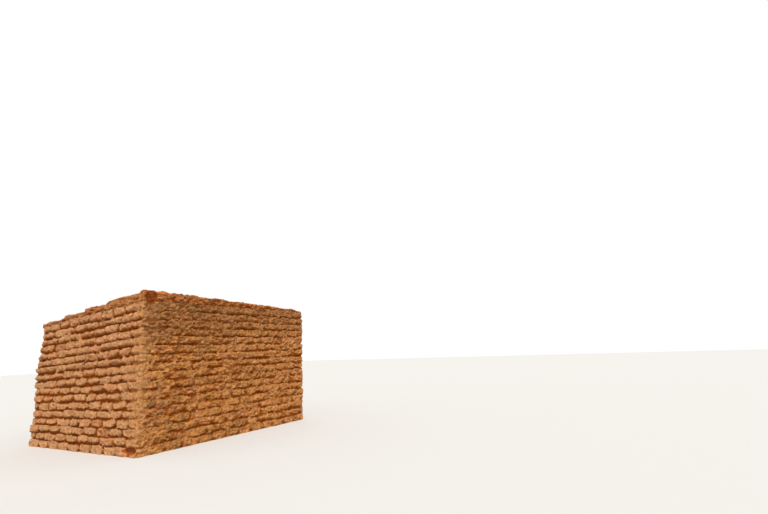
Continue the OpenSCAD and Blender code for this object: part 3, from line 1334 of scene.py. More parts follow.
        # The loaf-like lower corners of the bricks leave a dark notch between two of them
        notch = 0.034 * smooth_step(part, 0.5, 0.0) * (1.0 + 0.5 * chance[:, 0])
        side = np.clip(1.0 - (gap - 0.004 - notch + wave) / (0.046 + 0.016 * worn), 0.0, None)
        crisp = 1.0 - worn
        upper = 0.62 + 0.18 * crisp
        side = side * (upper + (1.0 - upper) * smooth_step(part, 0.80, 0.25))
        side = side * (1.35 - 0.35 * below) * (1.0 + 0.12 * crisp)
        side = side * (0.95 + 0.25 * chance[:, 6])
        side = side * (1.12 - 0.22 * worn * smooth_step(flat[..., 2], 0.8, 1.6))
        side = side * (1.0 - 0.35 * lofty * smooth_step(part, 0.6, 0.2))
        upright = 0.93 + 0.14 * chance[:, 1] - worn * (0.04 + 0.22 * (chance[:, 2] < -0.2))
        upright = upright + 0.18 * loaf
        side = side * np.clip(upright, 0.0, 1.0) * plan.upright
        edge = np.hypot(np.maximum(low, high), side)
        # Joints that rain or the mason's hand has closed up, here and there
        shut = noise.layered(flat, (0.24, 0.24, 0.11), 2) - 0.22 * worn + 0.15 * lofty
        shut = shut - 0.25 * smooth_step(flat[..., 2], 1.7, 2.4) * self.washed_top(flat)
        shut = smooth_step(shut, -0.05, -0.75)
        held = 1.0 - shut * (0.46 + 0.18 * worn)
        held = held - (0.08 + 0.14 * worn) * smooth_step(noise.at(flat + 4.0, 0.055), 0.1, 0.6)
        held = held - (0.12 + 0.28 * worn) * self.near_corner(plan, 1.5) + 0.08 * loaf
        share = np.clip(edge * held, 0.0, 1.0)
        joint = 1.0 - np.sqrt(1.0 - share**2)
        seat = 0.0065 * chance[:, 3] + 0.030 * chance[:, 4] * along
        seat = seat + 0.006 * chance[:, 5] * (part - 0.5)
        seat = seat * np.clip(turn / 0.10, 0.0, 1.0) * (1.0 - joint)
        # A few soft bricks have crumbled away behind their neighbours
        lost = smooth_step(chance[:, 5], 0.74, 0.96) * np.clip(turn / 0.20 - 1.0, 0.0, 1.0)
        lost = lost * np.clip(0.7 + noise.at(flat, 0.06), 0.0, 1.0)
        return joint, seat + 0.017 * lost * (1.0 - joint), chance[:, 2], lost

    def relief(self, plan: Plan, rows: ndarray) -> tuple[ndarray, ndarray, dict[str, ndarray]]:
        """Works out how deep a wall piece lies behind its true faces.

        Args:
            plan: Upright lines of the piece.
            rows: Heights of its rows, in courses from the ground.

        Returns:
            Places on the true faces, the depths behind them, and the values kept at them by name.
        """
        size = self.size
        tall = size.course_at(plan.y)
        lines = self.joint_lines(plan)
        worn = self.exposure(plan.walk)
        on_front = (plan.out_y < -0.7) & (plan.coursed > 0.5)
        corner = self.near_corner(plan)
        left_back = np.abs(np.mod(plan.walk, size.girth) - size.start_of(Face.LEFT))
        left_back = np.exp(-((left_back / 0.16) ** 2)) * plan.coursed
        chances = np.random.default_rng(SEED + 9).uniform(0.0, 1.0, size.courses)
        courses = np.minimum(rows.astype(int), size.courses - 1)
        places, depths = [], []
        values = {key: [] for key in MARKS}
        for course in np.unique(courses):
            part = (rows[courses == course] - course)[:, None]
            z = (course + part) * tall + (1 - part) * lines[course] + part * lines[course + 1]
            flat = np.stack(np.broadcast_arrays(plan.x, plan.y, z), axis=-1)
            joint, seat, tone, lost = self.joint(plan, int(course), flat, part)
            raked = self.joint_crisp + (self.joint_worn - self.joint_crisp) * worn
            raked = raked * (0.85 + (0.45 - 0.20 * worn) * smooth_step(z, 0.9, 1.6))
            depth = joint * raked * (1.0 + 0.25 * self.noise.at(flat, 0.2)) + seat
            rough = self.roughness(flat, worn * (1.0 - 0.55 * corner))
            depth = depth + rough
            # Painted shade: the deep colour goes into the recesses of the rough face and, at half
            # strength, onto the crumbled bricks behind their neighbours
            recess_shade = 0.55 * smooth_step(rough, 0.004, 0.024) * (0.4 + 0.6 * worn)
            shaded = np.maximum(joint, np.maximum(recess_shade, 0.5 * lost))
            depth = depth + self.batter * (z / size.front_top) ** 1.5
            depth = depth + left_back * self.ragged * (chances[course] - 0.45)
            rubbed = 0.006 * self.noise.layered(flat, 0.25, 3)
            depth = plan.coursed * depth + (1.0 - plan.coursed) * rubbed
            depth = depth * smooth_step(z, -0.05, 0.02)
            back = self.worn_back(flat, plan.out) * plan.coursed
            broken = np.where(on_front, self.chip(flat), 0.0)
            hollow = np.where(plan.out_x < -0.7, self.foot(flat), 0.0) * plan.coursed
            fresh = smooth_step(broken, 0.001, 0.014) + smooth_step(hollow, 0.006, 0.02)
            calm = 1.0 - 0.7 * np.clip(fresh, 0.0, 1.0)
            places.append(flat)
            depths.append(depth * calm + back + broken + hollow)
            marks = (
                tone * plan.coursed,
                shaded * plan.coursed * calm,
                worn,
                np.clip(fresh, 0.0, 1.0) * 0.9,
                np.maximum(1.0 - plan.coursed, 0.75 * corner),
                worn * smooth_step(z / size.front_top, 0.62, 0.92),
            )
            for key, value in zip(MARKS, marks):
                values[key].append(np.broadcast_to(value, z.shape))
        joined = {key: np.concatenate(parts) for key, parts in values.items()}
        flat, depth = np.concatenate(places), np.concatenate(depths)
        # Painted shade: the deep colour on the undersides, where the face recedes going down
        climb = np.maximum(np.gradient(flat[..., 2], axis=0), 1e-3)
        under = smooth_step(-np.gradient(depth, axis=0) / climb, 0.15, 1.1)
        joined["joint"] = np.maximum(joined["joint"], 0.75 * under * plan.coursed)
        return flat, depth, joined


@dataclass
class Masonry:
    """The four walls and their parapets, brick by brick.

    The steps are the greatest distances between two lines, on the faces in their own order.
    """

    size: HouseSize
    weather: Weather
    face_steps: tuple[float, ...] = (0.0104, 0.0126, 0.0126, 0.0086)
    room_step: float = 0.10
    parapet_step: float = 0.05
    jamb_step: float = 0.02
    jamb_round: float = 0.03
    jamb_lap: float = 0.05
    hole_grip: float = 0.004
    profile: tuple[float, ...] = (
        0.0, 0.05, 0.10, 0.16, 0.24, 0.33, 0.42, 0.52, 0.62, 0.72, 0.81, 0.88, 0.94
    )

    def rows(self, low: float, high: float) -> ndarray:
        """Gives the rows of a piece, close together at the bed joints.

        Args:
            low: Lowest row, in courses from the ground.
            high: Highest row, in courses from the ground.

        Returns:
            Heights in courses.
        """
        steps = np.add.outer(np.arange(self.size.courses), np.array(self.profile)).ravel()
        inner = steps[(steps > low + 0.01) & (steps < high - 0.01)]
        return np.concatenate([[low], inner, [high]])

    def wall(self, name: str, plan: Plan, low: float, high: float) -> Object:
        """Builds one wall piece.

        Args:
            name: Name of the piece.
            plan: Its upright lines.
            low: Its foot, in courses from the ground.
            high: Its top, in courses from the ground.

        Returns:
            The new piece.
        """
        places, depth, values = self.weather.relief(plan, self.rows(low, high))
        places[..., :2] -= depth[..., None] * plan.out
        return skin(name, places, values)

    def face_plan(self, face: Face, room_step: float) -> Plan:
        """Plans the wall along one face. The long walls take in the corners of the house.

        Args:
            face: Which face.
            room_step: Greatest distance between two lines of its room face.

        Returns:
            The plan.
        """
        size = self.size
        room = size.corners(size.wall)
        start = size.start_of(face)
        end = start + size.length_of(face)
        lap = size.wall if face in (Face.FRONT, Face.BACK) else -size.wall
        outer = Plan.outside(size, start - lap, end + lap, self.face_steps[face.value])
        bricks = start + (0.0 if face is Face.FRONT else 1.0)
        points = [room[(face.value + 1) % 4], room[face.value]]
        return outer + Plan.straight(points, room_step, 0.0, bricks, 0.0)

    def back_side_plan(self, left: bool) -> Plan:
        """Plans the back wall on one side of the doorway, with its jamb.

        Args:
            left: True for the side at the left gable.

        Returns:
            The plan of that side.
        """
        size, lap = self.size, self.jamb_lap
        start = size.start_of(Face.BACK)
        door, away = (size.door_left, -1.0) if left else (size.door_right, 1.0)
        edge = start + size.right - door
        corners = [
            (door + away * lap, size.in_back),
            (door, size.in_back),
            (door, size.back),
            (door + away * (lap - 0.01), size.back),
        ]
        inner = (door + away * 2.0 * lap, size.in_back)
        if left:
            ends = edge + lap, start + size.length + size.wall
            room_face = [(size.in_left, size.in_back), inner]
        else:
            ends = start - size.wall, edge - lap
            room_face = [inner, (size.in_right, size.in_back)]
            corners.reverse()
        bricks = edge - away * 0.001
        outer = Plan.outside(size, *ends, self.face_steps[Face.BACK.value])
        jamb = Plan.straight(corners, self.jamb_step, self.jamb_round, bricks, 1.0)
        room = Plan.straight(room_face, self.room_step, 0.0, bricks, 0.0)
        return outer + room + jamb if left else outer + jamb + room

    def over_door_plan(self) -> Plan:
        """Plans the wall over the doorway.

        Returns:
            The plan.
        """
        size = self.size
        start = size.start_of(Face.BACK) + size.right
        ends = start - size.door_right, start - size.door_left
        outer = Plan.outside(size, *ends, self.face_steps[Face.BACK.value])
        points = [(size.door_left, size.in_back), (size.door_right, size.in_back)]
        return outer + Plan.straight(points, self.room_step, 0.0, start, 0.0)

    def pierce(self, piece: Object, spouts: "DrainSpouts") -> None:
        """Cuts the round holes in which the drain spouts lie.

        Args:
            piece: The back parapet. Its mesh is changed.
            spouts: The spouts that pass through it.
        """
        radius = spouts.diameter / 2.0 - self.hole_grip
        drill = bmesh.new()
        for side in (-1.0, 1.0):
            place = spouts.frame_at(side, spouts.bedding + self.size.wall / 2.0)
            bmesh.ops.create_cone(
                drill,
                cap_ends=True,
                cap_tris=False,
                segments=40,
                radius1=radius,
                radius2=radius,
                depth=self.size.wall + 0.2,
                matrix=place,
            )
        cutter = finished("spout_holes", drill)
        cut = piece.modifiers.new("spout_holes", "BOOLEAN")
        cut.operation, cut.solver, cut.object = "DIFFERENCE", "EXACT", cutter
        graph = bpy.context.evaluated_depsgraph_get()
        pierced = bpy.data.meshes.new_from_object(piece.evaluated_get(graph))
        piece.modifiers.clear()
        piece.data = pierced
        bpy.data.objects.remove(cutter)

    def build(self, brick: Material, spouts: "DrainSpouts") -> None:
        """Builds and dresses every wall piece.

        Args:
            brick: Material of the walls.
            spouts: The spouts that pass through the back parapet.
        """
        size = self.size
        seat, top = float(size.seat_course), float(size.courses)
        lintel_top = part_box("lintel_log_1")[1].z / (size.back_top / size.courses)
        room, upper = self.room_step, self.parapet_step
        pieces = (
            ("front_wall_bricks", self.face_plan(Face.FRONT, room), 0.0, seat, ["front_wall"]),
            ("front_parapet_bricks", self.face_plan(Face.FRONT, upper), seat, top, ["front_parapet"]),
            ("left_gable_bricks", self.face_plan(Face.LEFT, room), 0.0, top,
             ["left_gable_wall", "left_parapet"]),
            ("right_gable_bricks", self.face_plan(Face.RIGHT, room), 0.0, top,
             ["right_gable_wall", "right_parapet"]),
            ("back_wall_left_bricks", self.back_side_plan(True), 0.0, seat, ["back_wall_left"]),
            ("back_wall_right_bricks", self.back_side_plan(False), 0.0, seat, ["back_wall_right"]),
            ("over_door_bricks", self.over_door_plan(), lintel_top, seat, ["wall_over_door"]),
            ("back_parapet_bricks", self.face_plan(Face.BACK, upper), seat, top, ["back_parapet"]),
        )
        for name, plan, low, high, nodes in pieces:
            piece = self.wall(name, plan, low, high)
            if name == "back_parapet_bricks":
                self.pierce(piece, spouts)
            dress(piece, brick, nodes)


@dataclass
class CornerSmear:
    """The hand-smeared mud over the brick ends at the near corner."""

    size: HouseSize
    weather: Weather
    masonry: Masonry
    gable_reach: float = 0.36
    front_reach: float = 0.32
    low_course: float = 1.0
    high_course: float = 14.9
    thickness: float = 0.085
    step: float = 0.0104

    def build(self, plaster: Material) -> None:
        """Builds and dresses the smear, whose ragged edges sink behind the bricks' faces.

        Args:
            plaster: Material of the smear.
        """
        noise = self.weather.noise
        outer = Plan.outside(self.size, -self.gable_reach, self.front_reach, self.step)
        rows = self.masonry.rows(self.low_course, self.high_course)
        flat, wall, values = self.weather.relief(outer, rows)
        z = flat[..., 2]
        low, high = z.min(), z.max()
        run = outer.walk + 0.06 * noise.layered(flat, (0.4, 0.4, 0.20), 3)
        run = run + 0.035 * noise.at(flat, 0.10)
        half = 0.185 + 0.060 * noise.layered(flat + 5.0, (0.3, 0.3, 0.12), 3)
        ends = smooth_step(z, low, low + 0.12) * (1.0 - smooth_step(z, high - 0.25, high - 0.03))
        reach = half * ends - np.abs(run + 0.09) * np.where(run > 0.0, 0.8, 1.0)
        cover = smooth_step(reach, -0.06, 0.08)
        ripples = 0.007 * noise.layered(flat, (0.09, 0.09, 0.045), 2)
        ripples = ripples + 0.007 * noise.layered(flat, (0.3, 0.3, 0.12), 2)
        depth = (1.0 - cover) * (wall + 0.012) + cover * (0.38 * wall - 0.002 + ripples)
        face = flat.copy()
        face[..., :2] -= depth[..., None] * outer.out
        behind = flat[:, ::-4].copy()
        behind[..., :2] -= self.thickness * outer.out[::-4]
        places = np.concatenate([face, behind], axis=1)
        kept = {
            key: np.concatenate([value, value[:, ::-4]], axis=1) for key, value in values.items()
        }
        kept["tone"] = 0.6 * noise.at(places, (0.2, 0.2, 0.1))
        kept["joint"] = kept["joint"] * 0.75
        kept["plaster"] = np.concatenate([cover, cover[:, ::-4]], axis=1)
        kept["plaster"] = kept["plaster"] * (0.6 + 0.4 * noise.at(places, 0.2))
        piece = skin("corner_smear", places, kept)
        dress(piece, plaster, ["corner_render"])


# Copings


@dataclass
class Coping:
    """One run of puddled mud on the top of a wall."""

    face: Face
    node: str
    start: Vector
    end: Vector
    heights: ndarray
    seams: float
    size: HouseSize
    weather: Weather
    outer_inset: float = 0.002
    inner_inset: float = 0.008
    sunk: float = 0.026
    squareness: float = 0.45
    step: float = 0.0145
    around: int = 52

    def build(self, mud: Material) -> None:
        """Builds and dresses the coping.

        Args:
            mud: Material of the coping.
        """
        size, noise = self.size, self.weather.noise
        run = self.end - self.start
        count = math.ceil(run.length / self.step)
        share = np.linspace(0.0, 1.0, count + 1)[:, None]
        ahead = run.normalized()
        side = Vector((ahead.y, -ahead.x))
        middle = (self.outer_inset + size.wall - self.inner_inset) / 2.0
        half = (size.wall - self.outer_inset - self.inner_inset) / 2.0
        wide, tall = self._section(half)
        stretch = np.interp(share, *self.heights)
        near_end = np.minimum(share, 1.0 - share) * run.length
        shrink = 0.80 + 0.20 * np.sqrt(1.0 - (1.0 - np.clip(near_end / 0.05, 0.0, 1.0)) ** 2)
        x = self.start.x + run.x * share
        y = self.start.y + run.y * share
        tops = size.course_at(y) * size.courses
        places = np.stack(np.broadcast_arrays(x, y, tops, wide)[:3], axis=-1)
        lift = 0.008 * noise.layered(places, 0.33, 2) + 0.005 * noise.at(places, 0.09)
        cap = stretch + lift
        across = -middle + half * wide * shrink
        up = (cap - self.sunk) / 2.0 + (cap + self.sunk) / 2.0 * tall * shrink
        spots = np.stack([x + side.x * across, y + side.y * across, tops + up], axis=-1)
        outward = np.stack([side.x * wide, side.y * wide, tall], axis=-1)
        outward /= np.linalg.norm(outward, axis=-1, keepdims=True)
        worn = self.weather.exposure(np.array([size.start_of(self.face) + 1.0]))
        worn = np.clip(worn, 0.35, 1.0)[0]
        rough = 0.009 * noise.layered(spots, 0.13, 2) + self.weather.roughness(spots, worn)
        # A bed joint on the bricks, and uprights where the cap's own bricks meet
        bed = np.exp(-(((up - 0.006 + 0.010 * noise.at(spots, 0.12)) / 0.016) ** 2))
        gaps = noise.at(spots + 7.0, (0.21, 0.21, 1.5))
        gaps = np.exp(-((gaps / 0.07) ** 2)) * np.clip(1.0 - up / cap, 0.0, 1.0)
        seams = np.maximum(bed, 0.5 * gaps) * (wide > 0.3) * self.seams
        rough = rough + 0.030 * seams
        spots = spots - outward * rough[..., None] * (0.5 + 0.5 * np.abs(wide))[..., None]
        out = np.broadcast_to(np.array([side.x, side.y]), spots.shape[:-1] + (2,))
        flat = spots.copy()
        spots[..., :2] -= self.weather.worn_back(flat, out)[..., None] * out
        broken = self.weather.chip(flat) if side.y < -0.5 else np.zeros(flat.shape[:-1])
        broken = broken * (wide > -0.2)
        spots[..., :2] -= np.maximum(broken - 0.012, 0.0)[..., None] * out
        whole = spots.shape[:2]
        values = {
            "tone": 1.4 * noise.layered(spots, 0.22, 2),
            # joint: red-brown lumps, the seams, and painted shade where the rough face lies deeper
            "joint": np.clip(
                0.05 + 1.8 * noise.layered(spots, (0.15, 0.15, 0.05), 3) + 22.0 * rough + seams,
                0.0,
                1.0,
            )
            * (1.0 - smooth_step(broken, 0.0, 0.01)),
            "worn": np.full(whole, worn),
            "fresh": smooth_step(broken, 0.004, 0.018) * 0.9,
            "plaster": np.zeros(whole),
            "stain": np.full(whole, 0.15 * worn),
        }
        piece = skin(self.node + "_mud", spots, values)
        dress(piece, mud, [self.node])

    def _section(self, half: float) -> tuple[ndarray, ndarray]:
        """Gives a rounded cross-section, with closer points on its outer side.

        Args:
            half: Half the width of the coping.

        Returns:
            Places across and up, both from -1 to 1, as rows.
        """
        turn = np.linspace(0.0, 2.0 * math.pi, 721)
        wide = np.sign(np.cos(turn)) * np.abs(np.cos(turn)) ** self.squareness
        tall = np.sign(np.sin(turn)) * np.abs(np.sin(turn)) ** self.squareness
        rise = float(np.mean(self.heights[1])) / 2.0 + 0.02
        pace = np.hypot(np.diff(wide) * half, np.diff(tall) * rise)
        pace = pace * np.where(wide[1:] > -0.3, 1.0, 0.35)
        run = np.concatenate([[0.0], np.cumsum(pace)])
        even = np.linspace(0.0, run[-1], self.around, endpoint=False)
        return np.interp(even, run, wide)[None, :], np.interp(even, run, tall)[None, :]


@dataclass
class Copings:
    """The mud copings on the four walls."""

    size: HouseSize
    weather: Weather
    front_near: float = 0.185
    front_far: float = 0.056
    back_cap: float = 0.07
    gable_high: float = 0.160
    gable_low: float = 0.060
    gain: float = 0.016
    first_bay: float = 0.84
    lower_bays: int = 3
    setback: float = 0.028
    near_setback: float = 0.022
    near_gap: float = 0.10
    lost_end: float = 0.06
    lap: float = 0.02

    def gable_heights(self, forwards: bool) -> ndarray:
        """Gives the height of a gable coping above the bricks, bay by bay.

        Args:
            forwards: True if the run goes from the back wall to the front wall.

        Returns:
            Shares of the run and the heights there, as two rows.
        """
        room = self.size.depth - 2.0 * self.size.wall
        bay = (room - self.first_bay) / self.lower_bays
        edges = [0.0] + [self.first_bay + bay * i for i in range(self.lower_bays + 1)]
        shares, heights = [], []
        for index in range(self.lower_bays + 1):
            high = self.gable_high
            high -= index * (self.gable_high - self.gable_low) / self.lower_bays
            shares += [edges[index] / room + 0.004, edges[index + 1] / room - 0.004]
            heights += [high, high + self.gain]
        if forwards:
            shares = [1.0 - share for share in reversed(shares)]
            heights = heights[::-1]
        return np.array([shares, heights])

    def build(self, mud: Material) -> None:
        """Builds and dresses the four copings.

        Args:
            mud: Material of the copings.
        """
        size, lap = self.size, self.lap
        level = np.array([[0.0, 1.0], [self.back_cap, self.back_cap]])
        # The front one is thick at the near corner and thins out to the worn far one
        falling = np.array([
            [0.0, 0.006, 0.2, 0.9, 1.0],
            [0.150, self.front_near + 0.01, 0.166, self.front_far + 0.012, self.front_far - 0.03],
        ])
        ends = (size.left + self.near_setback, size.right - self.setback - self.lost_end)
        # Rain has taken down the right one with the top of the front right corner
        right = self.gable_heights(False)
        washed = np.array([[0.0, 0.05, 0.20], [0.045, 0.06, self.gable_high]])
        right = np.concatenate([washed, right[:, 1:]], axis=1)
        left = self.gable_heights(True)
        corner = size.front + self.near_gap
        left[0] *= (size.in_back - size.in_front + 2.0 * lap) / (size.in_back + lap - corner)
        runs = (
            (Face.FRONT, "front_coping", (ends[0], size.front),
             (ends[1], size.front), falling, 0.25),
            (Face.RIGHT, "right_coping", (size.right, size.in_front - lap),
             (size.right, size.in_back + lap), right, 0.3),
            (Face.BACK, "back_coping", (size.right - self.setback, size.back),
             (size.left + self.setback, size.back), level, 0.4),
            (Face.LEFT, "left_coping", (size.left, size.in_back + lap),
             (size.left, corner), left, 0.3),
        )
        for face, node, start, end, heights, seams in runs:
            run = Coping(face, node, Vector(start), Vector(end), heights, seams, size, self.weather)
            run.build(mud)


# Timbers


@dataclass
class Log:
    """One bark-stripped log, a little crooked, with knots and drying cracks."""

    start: Vector
    end: Vector
    butt: float
    tip: float
    seed: int
    crook: float = 0.004
    around: int = 24
    step: float = 0.05
    knots: int = 3
    cracks: int = 3

    def shape(self, noise: MudNoise) -> tuple[ndarray, ndarray]:
        """Works out the log's surface.

        Args:
            noise: Source of its unevenness.

        Returns:
            Places and places within the log, both of shape (rows, columns, 3).
        """
        rng = np.random.default_rng(SEED + self.seed)
        line = self.end - self.start
        length = line.length
        ahead = line.normalized()
        across = ahead.orthogonal().normalized()
        upward = ahead.cross(across)
        count = max(6, math.ceil(length / self.step))
        far = np.linspace(0.0, length, count + 1)[:, None]
        turn = np.linspace(0.0, 2.0 * math.pi, self.around, endpoint=False)[None, :]
        radius = (self.butt + (self.tip - self.butt) * far / length) / 2.0
        axes = np.cos(turn) * radius, np.sin(turn) * radius, far + self.seed * 3.1
        inside = np.stack(np.broadcast_arrays(*axes), axis=-1)
        uneven = 0.03 * noise.layered(inside, (0.05, 0.05, 0.3), 2)
        for _ in range(self.knots):
            knot_far, knot_turn = rng.uniform(0.1, 0.9) * length, rng.uniform(0.0, 6.28)
            away = (np.mod(turn - knot_turn + math.pi, 2 * math.pi) - math.pi) * radius
            uneven = uneven + 0.10 * np.exp(-((away / 0.02) ** 2) - ((far - knot_far) / 0.03) ** 2)
        for _ in range(self.cracks):
            crack_turn = rng.uniform(0.0, 6.28) + 0.25 * np.sin(far * rng.uniform(1.0, 2.5))
            away = np.mod(turn - crack_turn + math.pi, 2 * math.pi) - math.pi
            begin, finish = sorted(rng.uniform(-0.2, 1.2, 2) * length)
            share = smooth_step(far, begin, begin + 0.15)
            share = share * (1.0 - smooth_step(far, finish - 0.15, finish))
            uneven = uneven - 0.12 * share * np.exp(-((away / 0.10) ** 2))
        ends = np.minimum(far, length - far)
        chopped = 1.0 - 0.10 * np.clip(1.0 - ends / 0.006, 0.0, 1.0)
        sway = self.crook * np.sin(math.pi * far / length)
        bend = sway * np.sin(far * 2.2 + self.seed), sway * np.cos(far * 1.7 + self.seed)
        wide = np.cos(turn) * radius * (1.0 + uneven) * chopped + bend[0]
        tall = np.sin(turn) * radius * (1.0 + uneven) * chopped + bend[1]
        places = (
            np.array(self.start)
            + far[..., None] * np.array(ahead)
            + wide[..., None] * np.array(across)
            + tall[..., None] * np.array(upward)
        )
        return places, inside

    def build(self, name: str, noise: MudNoise) -> Object:
        """Makes the log an object.

        Args:
            name: Name of the piece.
            noise: Source of its unevenness.

        Returns:
            The new piece.
        """
        places, inside = self.shape(noise)
        return skin(name, places, {}, {"log_space": inside}, crease=50.0)


@dataclass
class RoofTimbers:
    """The beams down the slope, the close poles across them and the lintel over the doorway."""

    size: HouseSize
    noise: MudNoise
    beam_count: int = 6
    beam_margin: float = 0.30
    butt: float = 0.108
    tip: float = 0.094
    bearing: float = 0.14
    pitch: float = 0.092
    pole_bearing: float = 0.11
    lintel: float = 0.064
    lintel_gap: float = 0.004
    lintel_count: int = 3

    def beam(self, index: int) -> Log:
        """Gives one roof beam, laid down the slope.

        Args:
            index: Number of the beam, from the left.

        Returns:
            The beam.
        """
        size = self.size
        room = size.in_right - size.in_left
        x = size.in_left + self.beam_margin
        x += index * (room - 2.0 * self.beam_margin) / (self.beam_count - 1)
        first = (size.wall - self.bearing) * size.slope
        last = (size.depth - size.wall + self.bearing) * size.slope
        return Log(
            size.deck_point(x, first, -self.butt / 2.0),
            size.deck_point(x, last, -self.tip / 2.0),
            self.butt,
            self.tip,
            seed=11 + index,
        )

    def poles(self) -> list[Log]:
        """Gives the close poles that lie across the beams.

        Returns:
            The poles, from the front wall on.
        """
        size = self.size
        run = (size.depth - 2.0 * size.wall) * size.slope
        count = math.floor((run - size.pole) / self.pitch)
        first = size.wall * size.slope + (run - (count - 1) * self.pitch) / 2.0
        rng = np.random.default_rng(SEED + 40)
        made = []
        for index in range(count):
            girth = size.pole * rng.uniform(0.80, 0.98)
            along = first + index * self.pitch
            ends = [size.in_left - self.pole_bearing, size.in_right + self.pole_bearing]
            if index % 2:
                ends.reverse()
            start, end = (size.deck_point(x, along, girth / 2.0) for x in ends)
            made.append(Log(
                start, end, girth, girth * 0.84, seed=50 + index,
                crook=0.005, around=10, step=0.16, cracks=0,
            ))
        return made

    def lintel_log(self, index: int) -> Log:
        """Gives one lintel log.

        Args:
            index: Number of the log, from the room face.

        Returns:
            The log.
        """
        size = self.size
        y = size.in_back + self.lintel_gap + self.lintel / 2.0
        y += index * (self.lintel + self.lintel_gap)
        z = size.door_top + self.lintel / 2.0
        ends = size.door_left - size.lintel_bearing, size.door_right + size.lintel_bearing
        start, end = (Vector((x, y, z)) for x in ends)
        return Log(
            start, end, self.lintel, self.lintel * 0.94, seed=90 + index, crook=0.002, step=0.025
        )

    def build(self, log: Material, pole: Material) -> None:
        """Builds and dresses the timbers.

        Args:
            log: Material of the beams and the lintel.
            pole: Material of the poles.
        """
        for index in range(self.beam_count):
            piece = self.beam(index).build(f"beam_log_{index + 1}", self.noise)
            dress(piece, log, [f"roof_beam_{index + 1}"])
        for index in range(self.lintel_count):
            piece = self.lintel_log(index).build(f"door_lintel_{index + 1}", self.noise)
            dress(piece, log, [f"lintel_log_{index + 1}"])
        row = bmesh.new()
        for index, stem in enumerate(self.poles()):
            single = stem.build(f"pole_{index}", self.noise)
            row.from_mesh(single.data)
            bpy.data.objects.remove(single)
        piece = finished("close_poles", row, 50.0)
        dress(piece, pole, ["roof_poles"])


@dataclass
class DrainSpouts:
    """Troughs cut from half logs, let through the back parapet."""

    size: HouseSize
    noise: MudNoise
    spacing: float = 2.30
    reach: float = 0.35
    diameter: float = 0.140
    trough: float = 0.088
    tilt: float = math.radians(6.0)
    bedding: float = 0.06
    sink: float = 0.004

    def frame_at(self, side: float, along: float) -> Matrix:
        """Gives a place on a spout's axis.

        Args:
            side: -1 for the left spout and 1 for the right one.
            along: Distance from its inner end.

        Returns:
            A matrix whose X is across, Y is up and Z is along the spout.
        """
        size = self.size
        level = size.deck_at(size.in_back) + size.roof_height * size.slope
        level += self.trough / 2.0 - self.sink
        ahead = Vector((0.0, math.cos(self.tilt), -math.sin(self.tilt)))
        upward = Vector((0.0, math.sin(self.tilt), math.cos(self.tilt)))
        across = upward.cross(ahead)
        place = Vector((side * self.spacing / 2.0, size.in_back, level))
        place += ahead * (along - self.bedding)
        columns = Matrix((across, upward, ahead)).transposed().to_4x4()
        return Matrix.Translation(place) @ columns

    def section(self) -> ndarray:
        """Gives the outline of the half log with its trough.

        Returns:
            Places across and up, walked with the wood on the left.
        """
        outer, inner = self.diameter / 2.0, self.trough / 2.0
        under = np.linspace(math.pi, 2.0 * math.pi, 26)
        groove = np.linspace(2.0 * math.pi, math.pi, 18)
        return np.concatenate([
            np.stack([np.cos(under) * outer, np.sin(under) * outer], axis=1),
            np.stack([np.cos(groove) * inner, np.sin(groove) * inner], axis=1),
        ])

    def build(self, log: Material) -> None:
        """Builds and dresses both spouts.

        Args:
            log: Material of the spouts.
        """
        length = self.bedding + (self.size.wall + self.reach) / math.cos(self.tilt)
        far = np.linspace(0.0, length, 42)[:, None]
        outline = self.section().T
        for side, word in ((-1.0, "left"), (1.0, "right")):
            inside = np.stack(np.broadcast_arrays(*outline, far + 5.0 * side), axis=-1)
            uneven = 1.0 + 0.03 * self.noise.layered(inside, (0.04, 0.04, 0.2), 3)
            ends = np.minimum(far, length - far)
            uneven = uneven * (1.0 - 0.03 * np.clip(1.0 - ends / 0.01, 0.0, 1.0))
            frame_zero = self.frame_at(side, 0.0)
            basis = np.array(frame_zero)[:3, :3]
            wide, tall = inside[..., 0] * uneven, inside[..., 1] * uneven
            local = np.stack(np.broadcast_arrays(wide, tall, far), axis=-1)
            local[..., 1] += 0.002 * self.noise.at(inside, 0.05)
            places = local @ basis.T + np.array(frame_zero.translation)
            piece = skin(f"half_log_spout_{word}", places, {}, {"log_space": inside}, 40.0)
            dress(piece, log, [f"drain_spout_{word}"])


# Roof


